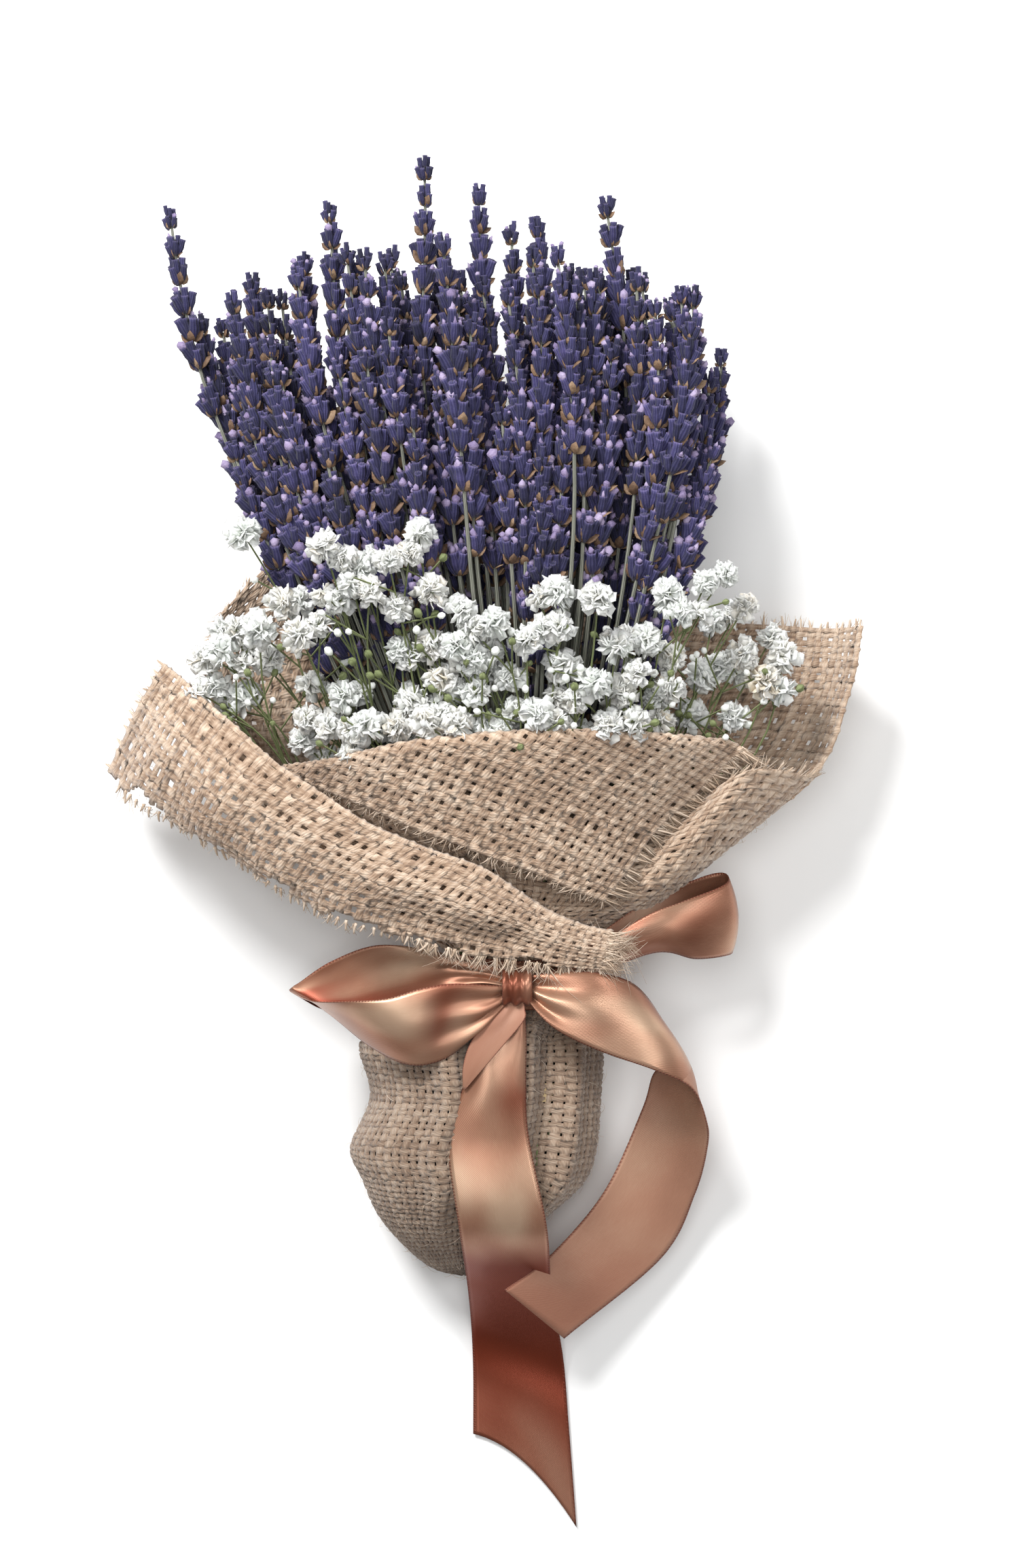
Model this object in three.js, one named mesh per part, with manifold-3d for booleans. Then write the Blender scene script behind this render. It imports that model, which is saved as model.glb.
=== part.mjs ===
// A tied bunch of dried lavender with baby's breath, wrapped in burlap and laid on its back.
// Millimetres. +Y runs along the stems to the flower tips, +Z is up, and Z = 0 is the surface it lies on.
// While it is built, Y = 0 is the tie and X = 0 the middle of the neck; the last step moves the origin to
// the middle of the whole bunch's footprint.
import * as THREE from "three";
import { mergeVertices } from "three/addons/utils/BufferGeometryUtils.js";
import Module from "manifold-3d";

const wasm = await Module();
wasm.setup();

// Driving dimensions.
const GAP = 0.4; // clearance between pieces that touch
const STEM_D = 1.5; // a lavender stem
const BUNCH_R = 13; // the bare stems, squeezed together at the tie
const STEM_BELOW = 60; // from the tie down to the cut ends
const SPIKE_R = 3.6; // the widest whorl of a lavender spike
const WHORL_PITCH = 9; // from one whorl to the next
const LOWEST_WHORL_DROP = 15; // the lowest whorl stands apart from the rest
const FAN_LENGTH = 190; // from the tie to where the heads stop spreading
const HEADS_WIDTH = 150; // across the spread heads
const HEADS_TOP = 80; // the highest stems at the heads
const LEAN = 0.09; // how far the heads lean to the left, per millimetre of height
const SPRIG_D = 1; // a stem of baby's breath
const BLOSSOM_R = 4.2; // a double blossom of baby's breath
const CLOTH = 1; // the burlap, with its nap
const COLLAR_WIDTH = 204; // the collar of burlap from side to side
const BAG_LENGTH = 78; // the burlap below the tie
const BAG_WIDTH = 70;
const RIBBON_W = 25; // satin ribbon
const RIBBON_T = 0.8; // its thickness here, enough for a solid
const BAND_W = 15; // the ribbon gathered round the neck
const TAIL_DROP = 148; // from the knot to the point of the long tail

// What lies in what at the tie, from the stems outwards.
const STEM_CENTRES_R = BUNCH_R - STEM_D / 2;
const SPRIG_CENTRES_R = BUNCH_R + 2 * GAP + SPRIG_D / 2;
const INNER_CLOTH_R = SPRIG_CENTRES_R + SPRIG_D / 2 + GAP + CLOTH / 2;
const OUTER_CLOTH_R = INNER_CLOTH_R + CLOTH + GAP;
const LAP = CLOTH + 2 * GAP; // where the wrap's two ends lie over each other
const BAND_R = OUTER_CLOTH_R + LAP + CLOTH / 2 + GAP + RIBBON_T / 2;
const AXIS_Z = BAND_R + RIBBON_T / 2 + GAP / 2;

const { lerp, smoothstep, clamp } = THREE.MathUtils;

// How the bunch opens: 0 at the tie, 1 where the heads stop spreading.
const opening = (y) => Math.sin((Math.PI / 2) * clamp(y / FAN_LENGTH, 0, 1)) ** 1.3;

// The oval that the stem centres fill at a height above the tie.
function oval(y) {
  const low = AXIS_Z - STEM_CENTRES_R;
  const raised = 2 * (CLOTH + GAP) + SPIKE_R + 3;
  const resting = SPIKE_R + GAP;
  const bottom = low + (raised - low) * smoothstep(y, 0, 50) + (resting - raised) * smoothstep(y, 112, 150);
  const top = lerp(AXIS_Z + STEM_CENTRES_R, HEADS_TOP, opening(y));
  return {
    x: -LEAN * Math.max(y, 0),
    z: (top + bottom) / 2,
    halfWidth: lerp(STEM_CENTRES_R, HEADS_WIDTH / 2, opening(y)),
    halfDepth: (top - bottom) / 2,
  };
}

// A point in front of the stems, lifted clear of them.
function before(x, y, lift) {
  const o = oval(y);
  const across = clamp((x - o.x) / (o.halfWidth + lift), -1, 1);
  return new THREE.Vector3(x, y, o.z + o.halfDepth * Math.sqrt(1 - across * across) + lift);
}

const bunch = new THREE.Group();

function add(name, geometry, color, roughness, metalness = 0) {
  const mesh = new THREE.Mesh(geometry, new THREE.MeshStandardMaterial({ color, roughness, metalness }));
  mesh.name = name;
  bunch.add(mesh);
}

function solid(geometry) {
  const bare = geometry.clone();
  bare.deleteAttribute("normal");
  bare.deleteAttribute("uv");
  const merged = mergeVertices(bare, 1e-4);
  const triVerts = new Uint32Array(merged.index.array);
  return new wasm.Manifold(
    new wasm.Mesh({ numProp: 3, vertProperties: merged.attributes.position.array, triVerts }),
  );
}

function joined(geometries) {
  const mesh = geometries.map(solid).reduce((whole, piece) => whole.add(piece)).getMesh();
  const geometry = new THREE.BufferGeometry();
  geometry.setAttribute("position", new THREE.BufferAttribute(mesh.vertProperties, 3));
  geometry.setIndex(new THREE.BufferAttribute(mesh.triVerts, 1));
  geometry.computeVertexNormals();
  return geometry;
}

// A flat box of cloth bent over surface(u, v), with u and v from 0 to 1.
function sheet(surface, thickness, alongU, alongV) {
  const geometry = new THREE.BoxGeometry(1, 1, 1, alongU, alongV, 1);
  const at = geometry.attributes.position;
  const step = 1e-3;
  for (let i = 0; i < at.count; i++) {
    const u = at.getX(i) + 0.5;
    const v = at.getY(i) + 0.5;
    const du = surface(Math.min(u + step, 1), v).sub(surface(Math.max(u - step, 0), v));
    const dv = surface(u, Math.min(v + step, 1)).sub(surface(u, Math.max(v - step, 0)));
    const out = du.cross(dv).normalize();
    const point = surface(u, v).addScaledVector(out, at.getZ(i) * thickness);
    at.setXYZ(i, point.x, point.y, Math.max(point.z, 0));
  }
  geometry.computeVertexNormals();
  return geometry;
}

// A surface through rows of points: u runs round a row in a curve, v straight from row to row.
function net(rows) {
  const curves = rows.map((row) => new THREE.CatmullRomCurve3(row));
  const straight = 0;
  return (u, v) => {
    const across = curves.map((curve) => curve.getPoint(u));
    return new THREE.CatmullRomCurve3(across, false, "catmullrom", straight).getPoint(v);
  };
}

const vec = (x, y, z) => new THREE.Vector3(x, y, z);

// A thin round piece along points.
function twig(points, diameter, steps) {
  const shape = new THREE.Shape().absarc(0, 0, diameter / 2, 0, 2 * Math.PI);
  const extrudePath = new THREE.CatmullRomCurve3(points);
  return new THREE.ExtrudeGeometry(shape, { extrudePath, steps, curveSegments: 2, bevelEnabled: false });
}

// Lavender. Each stalk is one piece that grew: a stem and a spike of whorls.
// Tips of the stalks that give the bunch its outline: across and above the tie.
const OUTLINE_TIPS = [
  [-91, 214],
  [-85, 186],
  [-76, 150],
  [-71, 197],
  [-61, 200],
  [-54, 190],
  [-52, 213],
  [-38, 205],
  [-31, 225],
  [-13, 222],
  [-3, 208],
  [6, 215],
  [26, 216],
  [24, 186],
  [42, 181],
  [54, 178],
  [41, 129],
  [45, 118],
];
const FILL_STALKS = 16;
const GOLDEN_ANGLE = Math.PI * (3 - Math.sqrt(5));
const ROOM = 0.29; // least distance between stalks, as a share of the oval's half width

// Each stalk keeps one place in the oval from the cut end to the tip.
function stalkPlaces() {
  const places = OUTLINE_TIPS.map(([x, tip], i) => {
    const o = oval(tip);
    return { across: clamp((x - o.x) / o.halfWidth, -0.96, 0.96), up: 0.25 * (-1) ** i, tip, fixed: true };
  });
  for (let i = 0; i < FILL_STALKS; i++) {
    const r = Math.sqrt((i + 0.5) / FILL_STALKS);
    const up = r * Math.sin(i * GOLDEN_ANGLE);
    const tip = 186 - 34 * Math.abs(up) + 14 * Math.sin(2.1 * i);
    places.push({ across: r * Math.cos(i * GOLDEN_ANGLE), up, tip, fixed: false });
  }
  for (let pass = 0; pass < 400; pass++) {
    places.forEach((a, i) =>
      places.slice(i + 1).forEach((b) => {
        const dx = b.across - a.across;
        const dz = b.up - a.up || 0.01;
        const apart = Math.hypot(dx, dz);
        if (apart >= ROOM) return;
        const push = (0.5 * (ROOM - apart)) / apart;
        a.up -= push * dz;
        b.up += push * dz;
        if (!a.fixed) a.across -= push * dx;
        if (!b.fixed) b.across += push * dx;
      }),
    );
    for (const place of places) {
      const limit = Math.sqrt(1 - Math.min(place.across ** 2, 0.97));
      if (!place.fixed && Math.abs(place.across) > 0.95) place.across = 0.95 * Math.sign(place.across);
      place.up = clamp(place.up, -limit, limit);
    }
  }
  return places;
}

function lavender({ across, up, tip }, order) {
  const whorls = 5 + (order % 3);
  const base = tip - (whorls - 1) * WHORL_PITCH - LOWEST_WHORL_DROP;
  const stemSteps = 6;
  const profile = [new THREE.Vector2(0, -STEM_BELOW)];
  for (let i = 0; i <= stemSteps; i++) {
    profile.push(new THREE.Vector2(STEM_D / 2, lerp(-STEM_BELOW, base - 4, i / stemSteps)));
  }
  for (let i = 0; i < whorls; i++) {
    const y = i === 0 ? base : base + LOWEST_WHORL_DROP + (i - 1) * WHORL_PITCH;
    const wide = SPIKE_R * (i === 0 ? 0.75 : 1 - 0.4 * (i / whorls) ** 2);
    profile.push(new THREE.Vector2(wide, y + 2));
    profile.push(new THREE.Vector2(STEM_D, y + 6));
  }
  profile.push(new THREE.Vector2(0, tip));
  const geometry = new THREE.LatheGeometry(profile, 5);
  const at = geometry.attributes.position;
  for (let i = 0; i < at.count; i++) {
    const o = oval(at.getY(i));
    at.setX(i, at.getX(i) + o.x + o.halfWidth * across);
    at.setZ(i, at.getZ(i) + o.z + o.halfDepth * up);
  }
  geometry.computeVertexNormals();
  return geometry;
}

stalkPlaces().forEach((place, i) => add(`lavender_${i + 1}`, lavender(place, i), 0x3a3a70, 0.9));

// Baby's breath. Each sprig is one piece: a stem that forks to blossoms, given across and above the tie.
const SPRIGS = [
  [[-84, 94], [-82, 83], [-73, 85]],
  [[-63, 104], [-66, 93], [-58, 82]],
  [[-51, 117], [-42, 111], [-50, 98], [-47, 76]],
  [[-26, 120], [-32, 106], [-36, 94], [-34, 76]],
  [[-17, 104], [-22, 92], [-19, 76]],
  [[-4, 100], [-9, 88], [-6, 76]],
  [[12, 106], [22, 104], [10, 92], [7, 77]],
  [[31, 96], [25, 88], [20, 76]],
  [[42, 104], [53, 101], [42, 88], [34, 77]],
  [[64, 104], [71, 94], [60, 90], [58, 79]],
];
const SPRIG_LIFT = SPRIG_CENTRES_R - STEM_CENTRES_R + 0.5; // the extra leaves room where the bunch slopes

function sprig(blossoms, order) {
  const angle = lerp(166, 20, order / (SPRIGS.length - 1)) * THREE.MathUtils.DEG2RAD;
  const foot = vec(SPRIG_CENTRES_R * Math.cos(angle), 0, AXIS_Z + SPRIG_CENTRES_R * Math.sin(angle));
  const middle = blossoms.reduce((sum, [x]) => sum + x / blossoms.length, 0);
  const fork = [middle * 0.78, 50];
  const stem = [vec(foot.x, -STEM_BELOW * 0.6, foot.z), foot];
  for (const share of [0.35, 0.7, 1]) {
    stem.push(before(lerp(foot.x, fork[0], share ** 2.5), fork[1] * share, SPRIG_LIFT));
  }
  const pieces = [twig(stem, SPRIG_D, 8)];
  blossoms.forEach(([x, y], i) => {
    const branch = [0, 0.33, 0.66, 1].map((share) => {
      const lift = lerp(SPRIG_LIFT, SPIKE_R + BLOSSOM_R + GAP + 3 * (i % 2), share ** 1.5);
      return before(lerp(fork[0], x, share), lerp(fork[1], y, share), lift);
    });
    pieces.push(twig(branch, SPRIG_D * 0.8, 4));
    const blossom = new THREE.IcosahedronGeometry(BLOSSOM_R, 0);
    pieces.push(blossom.translate(...branch[3].toArray()));
  });
  return joined(pieces);
}

SPRIGS.forEach((blossoms, i) => add(`babys_breath_${i + 1}`, sprig(blossoms, i), 0xeef0e4, 0.9));

// The tie round the bare stems, inside the burlap.
const TIE_W = 5;
const TIE_INNER = SPRIG_CENTRES_R + SPRIG_D / 2 + GAP;
const tieProfile = [
  [TIE_INNER, -TIE_W / 2],
  [TIE_INNER + CLOTH, -TIE_W / 2],
  [TIE_INNER + CLOTH, TIE_W / 2],
  [TIE_INNER, TIE_W / 2],
  [TIE_INNER, -TIE_W / 2],
].map(([r, y]) => new THREE.Vector2(r, y));
const stemTie = new THREE.LatheGeometry(tieProfile, 20);
stemTie.translate(0, -STEM_BELOW / 2, AXIS_Z);
add("stem_tie", stemTie, 0xb08a55, 0.9);

// Burlap. Half the collar's width is the unit of the points across it.
const HALF = COLLAR_WIDTH / 2;

// A row of points round the stems at the height y, from the inner end of the wrap to its outer end.
const ROUND = [62, 30, 0, -30, -60, -90, -120, -150, -180, -205, -228, -250, -270, -290, -307];
function ring(y, radiusX, radiusZ, x, z) {
  return ROUND.map((degrees, i) => {
    const angle = degrees * THREE.MathUtils.DEG2RAD;
    const lap = (LAP * i) / (ROUND.length - 1);
    const height = z + (radiusZ + lap) * Math.sin(angle);
    return vec(x + (radiusX + lap) * Math.cos(angle), y, Math.max(height, CLOTH / 2));
  });
}

const BAG_X = -12; // the bag hangs out further on the left
const FLAT = CLOTH / 2;
const WRAP_ROWS = 10;
const FRONT_LIFT = OUTER_CLOTH_R - STEM_CENTRES_R + LAP + 2;
const frontOf = (x, y, lift) => before(x * HALF, y, lift + FRONT_LIFT);
const outerWrap = net([
  ring(-BAG_LENGTH, BAG_WIDTH * 0.1, 7, BAG_X - 2, 15),
  ring(-BAG_LENGTH * 0.91, BAG_WIDTH * 0.34, 14, BAG_X - 1, 17),
  ring(-BAG_LENGTH * 0.78, BAG_WIDTH * 0.46, 19.4, BAG_X, AXIS_Z),
  ring(-BAG_LENGTH * 0.5, BAG_WIDTH * 0.49, 19.4, BAG_X, AXIS_Z),
  ring(-BAND_W / 2 - 6, BAG_WIDTH * 0.49, 19.4, BAG_X, AXIS_Z),
  ring(-BAND_W / 2 - GAP, OUTER_CLOTH_R, OUTER_CLOTH_R, 0, AXIS_Z),
  ring(BAND_W / 2 + GAP, OUTER_CLOTH_R + GAP / 2, OUTER_CLOTH_R + GAP / 2, 0, AXIS_Z),
  [
    frontOf(0.18, 26, 2),
    vec(0.4 * HALF, 28, 34),
    vec(0.48 * HALF, 28, 22),
    vec(0.4 * HALF, 28, 7),
    vec(0.25 * HALF, 28, FLAT),
    vec(0, 28, FLAT),
    vec(-0.3 * HALF, 28, FLAT),
    vec(-0.5 * HALF, 30, 4),
    vec(-0.62 * HALF, 38, 14),
    vec(-0.62 * HALF, 40, 28),
    vec(-0.52 * HALF, 36, 42),
    frontOf(-0.38, 30, 3),
    frontOf(-0.22, 24, 4),
    frontOf(-0.04, 19, 4),
    frontOf(0.12, 14, 5),
  ],
  [
    frontOf(0.4, 46, 3),
    vec(0.66 * HALF, 57, 46),
    vec(0.83 * HALF, 56, 28),
    vec(0.79 * HALF, 58, 10),
    vec(0.54 * HALF, 60, FLAT),
    vec(0, 62, FLAT),
    vec(-0.54 * HALF, 64, FLAT),
    vec(-0.86 * HALF, 74, 6),
    vec(-1.0 * HALF, 84, 19),
    vec(-0.97 * HALF, 86, 34),
    vec(-0.81 * HALF, 73, 48),
    frontOf(-0.6, 56, 6),
    frontOf(-0.38, 45, 7),
    frontOf(-0.12, 36, 7),
    frontOf(0.1, 23, 7),
  ],
  [
    frontOf(0.44, 50, 3),
    vec(0.7 * HALF, 62, 47),
    vec(0.88 * HALF, 61, 28),
    vec(0.84 * HALF, 63, 10),
    vec(0.57 * HALF, 65, FLAT),
    vec(0, 67, FLAT),
    vec(-0.57 * HALF, 69, FLAT),
    vec(-0.91 * HALF, 79, 6),
    vec(-1.1 * HALF, 76, 16),
    vec(-1.12 * HALF, 60, 28),
    vec(-0.98 * HALF, 46, 38),
    frontOf(-0.76, 32, 8),
    frontOf(-0.54, 22, 10),
    frontOf(-0.24, 13, 11),
    frontOf(0.06, 6, 10),
  ],
]);
add("burlap_wrap", sheet(outerWrap, CLOTH, 2 * (ROUND.length - 1), WRAP_ROWS - 1), 0xb9946b, 0.95);

// The square behind the flowers lies inside the wrap and shows above it at both sides.
const insideWrap = (row, lift) =>
  [8, 7, 6, 5, 4, 3, 2].map((column) => {
    const u = column / (ROUND.length - 1);
    const v = row / (WRAP_ROWS - 1);
    const along = outerWrap(u + 0.01, v).sub(outerWrap(u - 0.01, v));
    const up = outerWrap(u, v + 0.01).sub(outerWrap(u, v - 0.01));
    return outerWrap(u, v).addScaledVector(along.cross(up).normalize(), -lift);
  });
const backLine = (ys, xs, zs) => xs.map((x, i) => vec(x * HALF, ys[i], zs[i] + FLAT + LAP));
const backSquare = net([
  insideWrap(5, CLOTH + GAP),
  insideWrap(6, LAP),
  insideWrap(7, LAP + 2),
  insideWrap(8, LAP + 1.5),
  backLine([96, 95, 90, 88, 88, 88, 87], [-0.84, -0.66, -0.4, 0, 0.4, 0.66, 0.88], [24, 8, 0, 0, 0, 7, 24]),
  backLine([108, 114, 112, 108, 106, 103, 100], [-0.77, -0.62, -0.4, 0, 0.4, 0.68, 0.92], [30, 14, 1, 0, 0, 9, 27]),
]);
add("burlap_back", sheet(backSquare, CLOTH, 12, 5), 0xad8760, 0.95);

// The front flap is tucked in at the neck and opens out over the stems of the baby's breath.
function frontFlap(u, v) {
  const y = lerp(6, lerp(57, 64, u), v) + 4 * Math.sin(Math.PI * u) * v;
  const widening = v ** 1.5;
  const x = lerp(lerp(-3, -0.62 * HALF, widening), lerp(3, 0.58 * HALF, widening), u);
  const lift = lerp(INNER_CLOTH_R - STEM_CENTRES_R + 0.2, SPRIG_LIFT + 6.5, smoothstep(v, 0.1, 0.65));
  return before(x, y, lift);
}
add("burlap_front", sheet(frontFlap, CLOTH, 12, 8), 0xc4a078, 0.95);

// Satin ribbon: one length that goes round the neck and is tied in a bow, with its pieces given by their
// two edges, from the knot outwards. Points are across, above the tie, and above the knot's middle.
const KNOT_Z = AXIS_Z + BAND_R + 3.5;
const edge = (points) => points.map(([x, y, z]) => vec(x, y, KNOT_Z + z));
const strip = (a, b, steps) => sheet(net([edge(a), edge(b)]), RIBBON_T, steps, 1);

const bandProfile = [
  [-1, -1],
  [1, -1],
  [1, 1],
  [-1, 1],
  [-1, -1],
].map(([r, y]) => new THREE.Vector2(BAND_R + (r * RIBBON_T) / 2, (y * BAND_W) / 2));
const band = new THREE.LatheGeometry(bandProfile, 24).translate(0, 0, AXIS_Z);
const knot = new THREE.SphereGeometry(1, 10, 8).scale(4, 5.2, 4.4).translate(0, 0, KNOT_Z);

const leftLoop = strip(
  [[0, 1, 2], [-20, 4, 7], [-46, 2, 8], [-60, 0.5, 4], [-46, -2.5, 7], [-22, -3.5, 5], [0, -1, 2]],
  [[0, 3, 0], [-18, 12, -2], [-38, 13, -9], [-57, 1, -16], [-44, -14, -9], [-25, -19, -1], [0, -3, 0]],
  18,
);
const rightLoop = strip(
  [[0, 0, 2], [14, 2, 2], [33, 7, -6], [57, 8, -14], [50, 7, -20], [30, 4, -16], [12, -2, -2], [0, -2, 0]],
  [[0, 3, 1], [14, 7, -1], [32, 14, -12], [55, 28, -19], [48, 22, -25], [30, 9, -20], [12, 2, -3], [0, 1, 0]],
  18,
);
const curledTail = strip(
  [[0, 2, 1], [18, 5, 1], [34, 1, -4], [50, -24, -18], [53, -38, -27], [47, -56, -34], [38, -73, -35], [13, -96, -26]],
  [[0, -2, 1], [10, -7, 2], [24, -17, 0], [38, -23, -6], [34, -36, -14], [24, -57, -20], [9, -75, -18], [-3, -83, -12]],
  20,
);
const longTail = strip(
  [[2, -3, 1], [2, -24, 0], [3, -41, -0.5], [8, -66, -3], [10, -86, -26], [13, -106, -42], [15, -122, -43.6], [16, -TAIL_DROP, -43.8]],
  [[-2, -3, 1], [-13, -24, 0], [-19, -41, -0.5], [-16, -66, -3], [-14, -84, -24], [-13, -98, -39], [-12, -110, -43.4], [-11, -123, -43.8]],
  20,
);
add("satin_ribbon", joined([band, knot, leftLoop, rightLoop, curledTail, longTail]), 0xa4644a, 0.35, 0.1);

// The origin is on the surface, under the middle of the bunch.
const middle = new THREE.Box3().setFromObject(bunch).getCenter(new THREE.Vector3());
bunch.position.set(-middle.x, -middle.y, 0);

export default bunch;
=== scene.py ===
import math

import bpy
import numpy as np
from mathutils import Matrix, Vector

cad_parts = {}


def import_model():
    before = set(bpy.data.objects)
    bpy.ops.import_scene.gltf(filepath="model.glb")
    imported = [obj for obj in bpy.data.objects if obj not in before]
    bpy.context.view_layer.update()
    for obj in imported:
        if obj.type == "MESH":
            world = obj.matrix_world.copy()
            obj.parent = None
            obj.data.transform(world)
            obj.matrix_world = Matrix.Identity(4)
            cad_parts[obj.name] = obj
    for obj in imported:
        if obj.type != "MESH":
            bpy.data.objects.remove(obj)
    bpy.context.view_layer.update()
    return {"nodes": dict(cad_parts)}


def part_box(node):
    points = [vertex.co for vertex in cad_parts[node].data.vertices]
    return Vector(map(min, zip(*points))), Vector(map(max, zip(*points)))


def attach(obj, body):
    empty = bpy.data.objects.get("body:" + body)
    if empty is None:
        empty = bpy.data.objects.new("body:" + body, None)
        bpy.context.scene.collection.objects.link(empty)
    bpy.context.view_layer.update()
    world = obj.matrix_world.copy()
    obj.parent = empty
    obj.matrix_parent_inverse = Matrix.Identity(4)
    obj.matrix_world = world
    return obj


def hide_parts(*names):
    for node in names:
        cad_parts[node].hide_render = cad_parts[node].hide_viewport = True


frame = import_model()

MM = 0.001
TAU = 2 * math.pi
TIE_TO_RAFFIA = 30  # the raffia binds the stems this far below the ribbon
raffia_low, raffia_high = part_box("stem_tie")
AXIS = (raffia_low + raffia_high) / 2
ORIGIN = np.array([AXIS.x, AXIS.y + TIE_TO_RAFFIA * MM, 0.0])
AXIS_Z = AXIS.z / MM  # the stems' height above the surface at the tie

rng = np.random.default_rng(7)


def metres(points):
    """Points in millimetres from the tie, as metres in the frame."""
    return np.asarray(points, float) * MM + ORIGIN


def millimetres(points):
    return (np.asarray(points, float) - ORIGIN) / MM


# ---------------------------------------------------------------- meshes


def mesh_object(name, points, faces, materials, slots=None, uvs=None, layers=None):
    """A piece from points in millimetres, faces as index rows, and values per point or per face corner."""
    mesh = bpy.data.meshes.new(name)
    mesh.from_pydata(metres(points).tolist(), [], [list(map(int, f)) for f in faces])
    piece = bpy.data.objects.new(name, mesh)
    bpy.context.collection.objects.link(piece)
    for material in materials:
        mesh.materials.append(material)
    if slots is not None:
        mesh.polygons.foreach_set("material_index", np.asarray(slots, np.int32))
    if uvs is not None:
        mesh.uv_layers.new(name="UVMap").uv.foreach_set("vector", np.asarray(uvs, np.float32).ravel())
    for key, values in (layers or {}).items():
        mesh.attributes.new(key, "FLOAT", "POINT").data.foreach_set("value", np.asarray(values, np.float32))
    mesh.polygons.foreach_set("use_smooth", [True] * len(mesh.polygons))
    mesh.update()
    return piece


class Shape:
    """A modelled shape taken from a mesh object, to be copied: points in mm, faces and map corners."""

    def __init__(self, piece):
        mesh = piece.data
        self.points = np.array([v.co for v in mesh.vertices], float) / MM
        self.faces = [tuple(p.vertices) for p in mesh.polygons]
        self.uvs = None
        bpy.data.objects.remove(piece)

    def wrap_map(self, height):
        """A map that runs once round the z axis and from 0 to 1 up the height."""
        turn = np.arctan2(self.points[:, 1], self.points[:, 0]) / TAU % 1.0
        rise = self.points[:, 2] / height
        corners = []
        for face in self.faces:
            u = turn[list(face)]
            u = np.where(u < u.max() - 0.5, u + 1, u)
            corners.extend(zip(u, rise[list(face)]))
        self.uvs = np.array(corners)
        return self


class Pile:
    """Copies of shapes gathered into one piece."""

    def __init__(self):
        self.points, self.faces, self.uvs, self.tones, self.slots = [], [], [], [], []
        self.count = 0

    def add(self, shape, at, way, roll, grow, tone, slot):
        """A copy of a shape, its z axis turned to point along way."""
        self.gather(turned(shape.points, at, way, roll, grow), shape.faces, shape.uvs, tone, slot)

    def gather(self, points, faces, uvs, tone, slot):
        self.points.append(points)
        self.faces.extend(tuple(i + self.count for i in face) for face in faces)
        self.uvs.append(uvs)
        self.tones.append(np.full(len(points), tone))
        self.slots.extend([slot] * len(faces))
        self.count += len(points)

    def piece(self, name, materials):
        return mesh_object(
            name,
            np.vstack(self.points),
            self.faces,
            materials,
            slots=self.slots,
            uvs=np.vstack(self.uvs),
            layers={"tone": np.concatenate(self.tones)},
        )


def settle(piece, slot, *nodes):
    """The piece rides on the bunch and stands for these CAD nodes, if any; the slot is not used."""
    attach(piece, "root")
    if nodes:
        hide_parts(*nodes)


def deselect():
    bpy.ops.object.select_all(action="DESELECT")


def lofted(sides, rings):
    """A round shape modelled upwards from a circle: rings of (height, radius) in mm."""
    deselect()
    (start, radius), rest = rings[0], rings[1:]
    bpy.ops.mesh.primitive_circle_add(vertices=sides, radius=radius * MM, location=(0, 0, start * MM))
    piece = bpy.context.object
    bpy.ops.object.transform_apply(location=True)
    bpy.ops.object.mode_set(mode="EDIT")
    bpy.ops.mesh.select_all(action="SELECT")
    for height, wide in rest:
        bpy.ops.mesh.extrude_region_move(TRANSFORM_OT_translate={"value": (0, 0, (height - start) * MM)})
        grow = wide / radius
        bpy.ops.transform.resize(value=(grow, grow, 1), center_override=(0, 0, height * MM))
        start, radius = height, wide
    bpy.ops.mesh.edge_face_add()
    bpy.ops.mesh.select_all(action="SELECT")
    bpy.ops.mesh.normals_make_consistent(inside=False)
    bpy.ops.object.mode_set(mode="OBJECT")
    return piece


def spline(points, at):
    """A smooth curve through points, read at places from 0 to the last point's index."""
    points = np.asarray(points, float)
    last = len(points) - 1
    at = np.clip(np.asarray(at, float), 0, last)
    i = np.minimum(at.astype(int), last - 1)
    t = (at - i).reshape((-1,) + (1,) * (points.ndim - 1))
    ends = np.concatenate([[2 * points[0] - points[1]], points, [2 * points[-1] - points[-2]]])
    a, b, c, d = ends[i], ends[i + 1], ends[i + 2], ends[i + 3]
    return 0.5 * (2 * b + (c - a) * t + (2 * a - 5 * b + 4 * c - d) * t**2 + (3 * b - a - 3 * c + d) * t**3)


def unit(vectors):
    return vectors / np.maximum(np.linalg.norm(vectors, axis=-1, keepdims=True), 1e-9)


def run_length(path):
    """How far along a path each of its points lies."""
    return np.concatenate([[0], np.cumsum(np.linalg.norm(np.diff(path, axis=0), axis=1))])


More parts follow.
